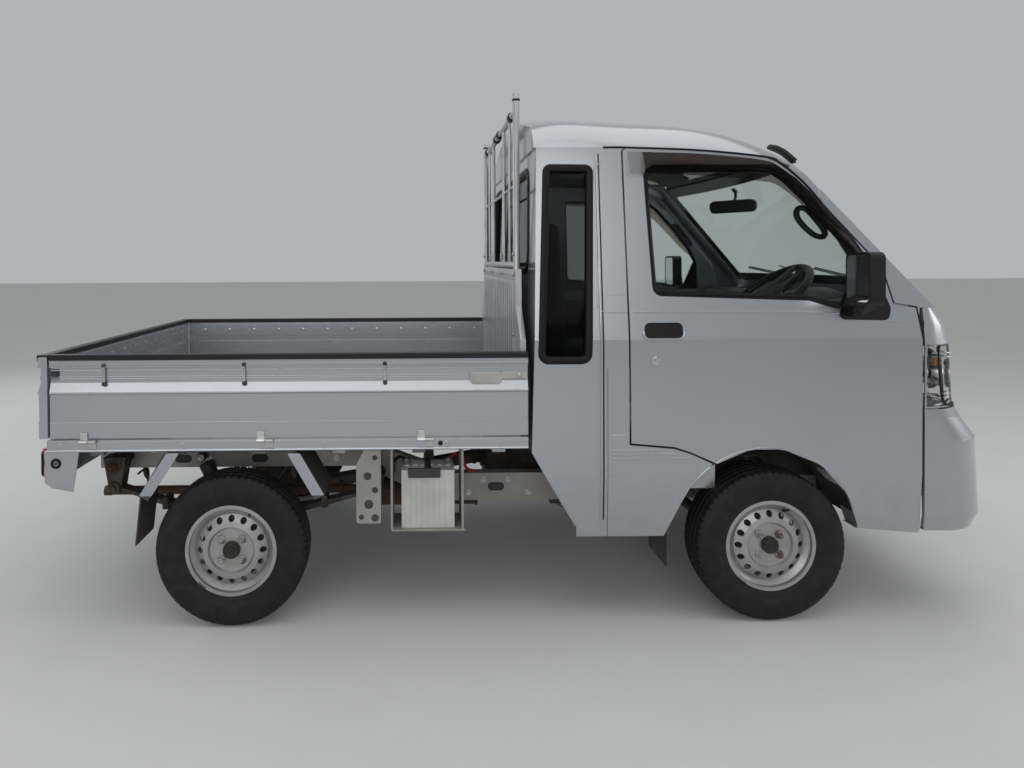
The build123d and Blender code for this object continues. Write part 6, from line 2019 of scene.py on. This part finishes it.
for x, z, r in ((-0.578, 0.375, 0.009), (-0.53, 0.372, 0.013), (-0.552, 0.42, 0.016),
        (-0.53, 0.47, 0.011), (-0.556, 0.52, 0.014), (-0.53, 0.585, 0.009)):
    holes.lathe(at(facing_right(-0.6931), x, z), turned((r, 0), (r, 0.0008), (r * 0.9, 0.0003)), 28)
holes.pair("plate_hole_shades", "chassis")

# Frame: bolts and slots along the rails; the slots' shade is painted, as dark rims and thin dark
# plates
FRAME_FACE = 0.4052
frame_bolts = Form()
for x, z in ((-0.18, 0.36), (-0.12, 0.41), (-0.02, 0.41), (0.06, 0.36), (0.15, 0.41), (0.7, 0.36),
        (0.96, 0.41), (1.24, 0.36), (-0.7, 0.5), (-0.86, 0.54), (-1.2, 0.5), (-1.42, 0.54),
        (-1.56, 0.5)):
    frame_bolts.bolt(at(facing_right(-FRAME_FACE), x, z), 0.0085, 0.007)
frame_bolts.pair("frame_bolts", "zinc")
slots = Form()
for x, z in ((-0.07, 0.384), (0.25, 0.384), (0.54, 0.384), (1.1, 0.384), (-1.0, 0.504),
        (-1.3, 0.504)):
    outline = round_corners(rect(x - 0.03, z - 0.014, x + 0.03, z + 0.014), 0.013, 6)
    slots.tube([(p.x, -FRAME_FACE, p.y) for p in outline], 0.0022, closed=True, steps=0)
    slots.slab(facing_right(-0.405), rect(x - 0.028, z - 0.012, x + 0.028, z + 0.012), 0.0006,
        0.011, 0.0)
slots.pair("frame_slot_shades", "trim_dark")

# Floor, light and camera
floor_mesh = bpy.data.meshes.new("floor")
FLOOR_HALF = 40.0
floor_corners = rect(-FLOOR_HALF, -FLOOR_HALF, FLOOR_HALF, FLOOR_HALF)
floor_mesh.from_pydata([(x, y, 0) for x, y in floor_corners], [], [(0, 1, 2, 3)])
floor = bpy.data.objects.new("floor", floor_mesh)
bpy.context.scene.collection.objects.link(floor)
floor_shader = Shader("floor", (0.62, 0.62, 0.61), 0.85)
floor_shader.paint(floor_shader.mix(floor_shader.noise(3.0, 6.0), (0.6, 0.6, 0.59),
    (0.66, 0.66, 0.65)))
floor_mesh.materials.append(floor_shader.material)


def area_light(name, place, target, size, power):
    lamp = bpy.data.lights.new(name, "AREA")
    lamp.shape = "RECTANGLE"
    lamp.size, lamp.size_y = size
    lamp.energy = power
    holder = bpy.data.objects.new(name, lamp)
    bpy.context.scene.collection.objects.link(holder)
    holder.location = place
    holder.rotation_euler = (Vector(target) - Vector(place)).to_track_quat("-Z", "Y").to_euler()


area_light("sky_panel", (0.3, -1.0, 6.0), (0, 0, 0.5), (8.0, 6.0), 130.0)
area_light("side_panel", (-1.5, -6.5, 2.6), (0, 0, 0.8), (7.0, 3.0), 95.0)
area_light("front_panel", (6.0, -1.5, 2.4), (0.5, 0, 0.9), (3.0, 2.5), 45.0)
area_light("rear_panel", (-5.5, 3.0, 3.0), (0, 0, 0.9), (4.0, 2.5), 45.0)

world = bpy.data.worlds.new("studio")
bpy.context.scene.world = world
world.use_nodes = True
background = world.node_tree.nodes["Background"]
background.inputs["Color"].default_value = (0.8, 0.82, 0.84, 1.0)
background.inputs["Strength"].default_value = 0.55

camera_data = bpy.data.cameras.new("camera")
camera = bpy.data.objects.new("camera", camera_data)
bpy.context.scene.collection.objects.link(camera)
bpy.context.scene.camera = camera
picture_width, picture_height = 1024, 768
focal_px = 678.92
centre_px = (425.29, 269.13)
camera_data.sensor_width = 36.0
camera_data.lens = camera_data.sensor_width * focal_px / picture_width
camera_data.shift_x = (picture_width / 2 - centre_px[0]) / picture_width
camera_data.shift_y = -(picture_height / 2 - centre_px[1]) / picture_width
camera_place = Vector((-0.3777, -3.0791, 1.2767))
yaw, pitch, roll = 0.0121, -0.0118, -0.0049
forward = Vector((sin(yaw) * cos(pitch), cos(yaw) * cos(pitch), sin(pitch)))
right = Vector((cos(yaw), -sin(yaw), 0))
up = right.cross(forward)
right_rolled = right * cos(roll) + up * sin(roll)
up_rolled = up * cos(roll) - right * sin(roll)
turn = Matrix((right_rolled, up_rolled, -forward)).transposed()
camera.matrix_world = Matrix.Translation(camera_place) @ turn.to_4x4()

bpy.context.scene.view_settings.view_transform = "Standard"
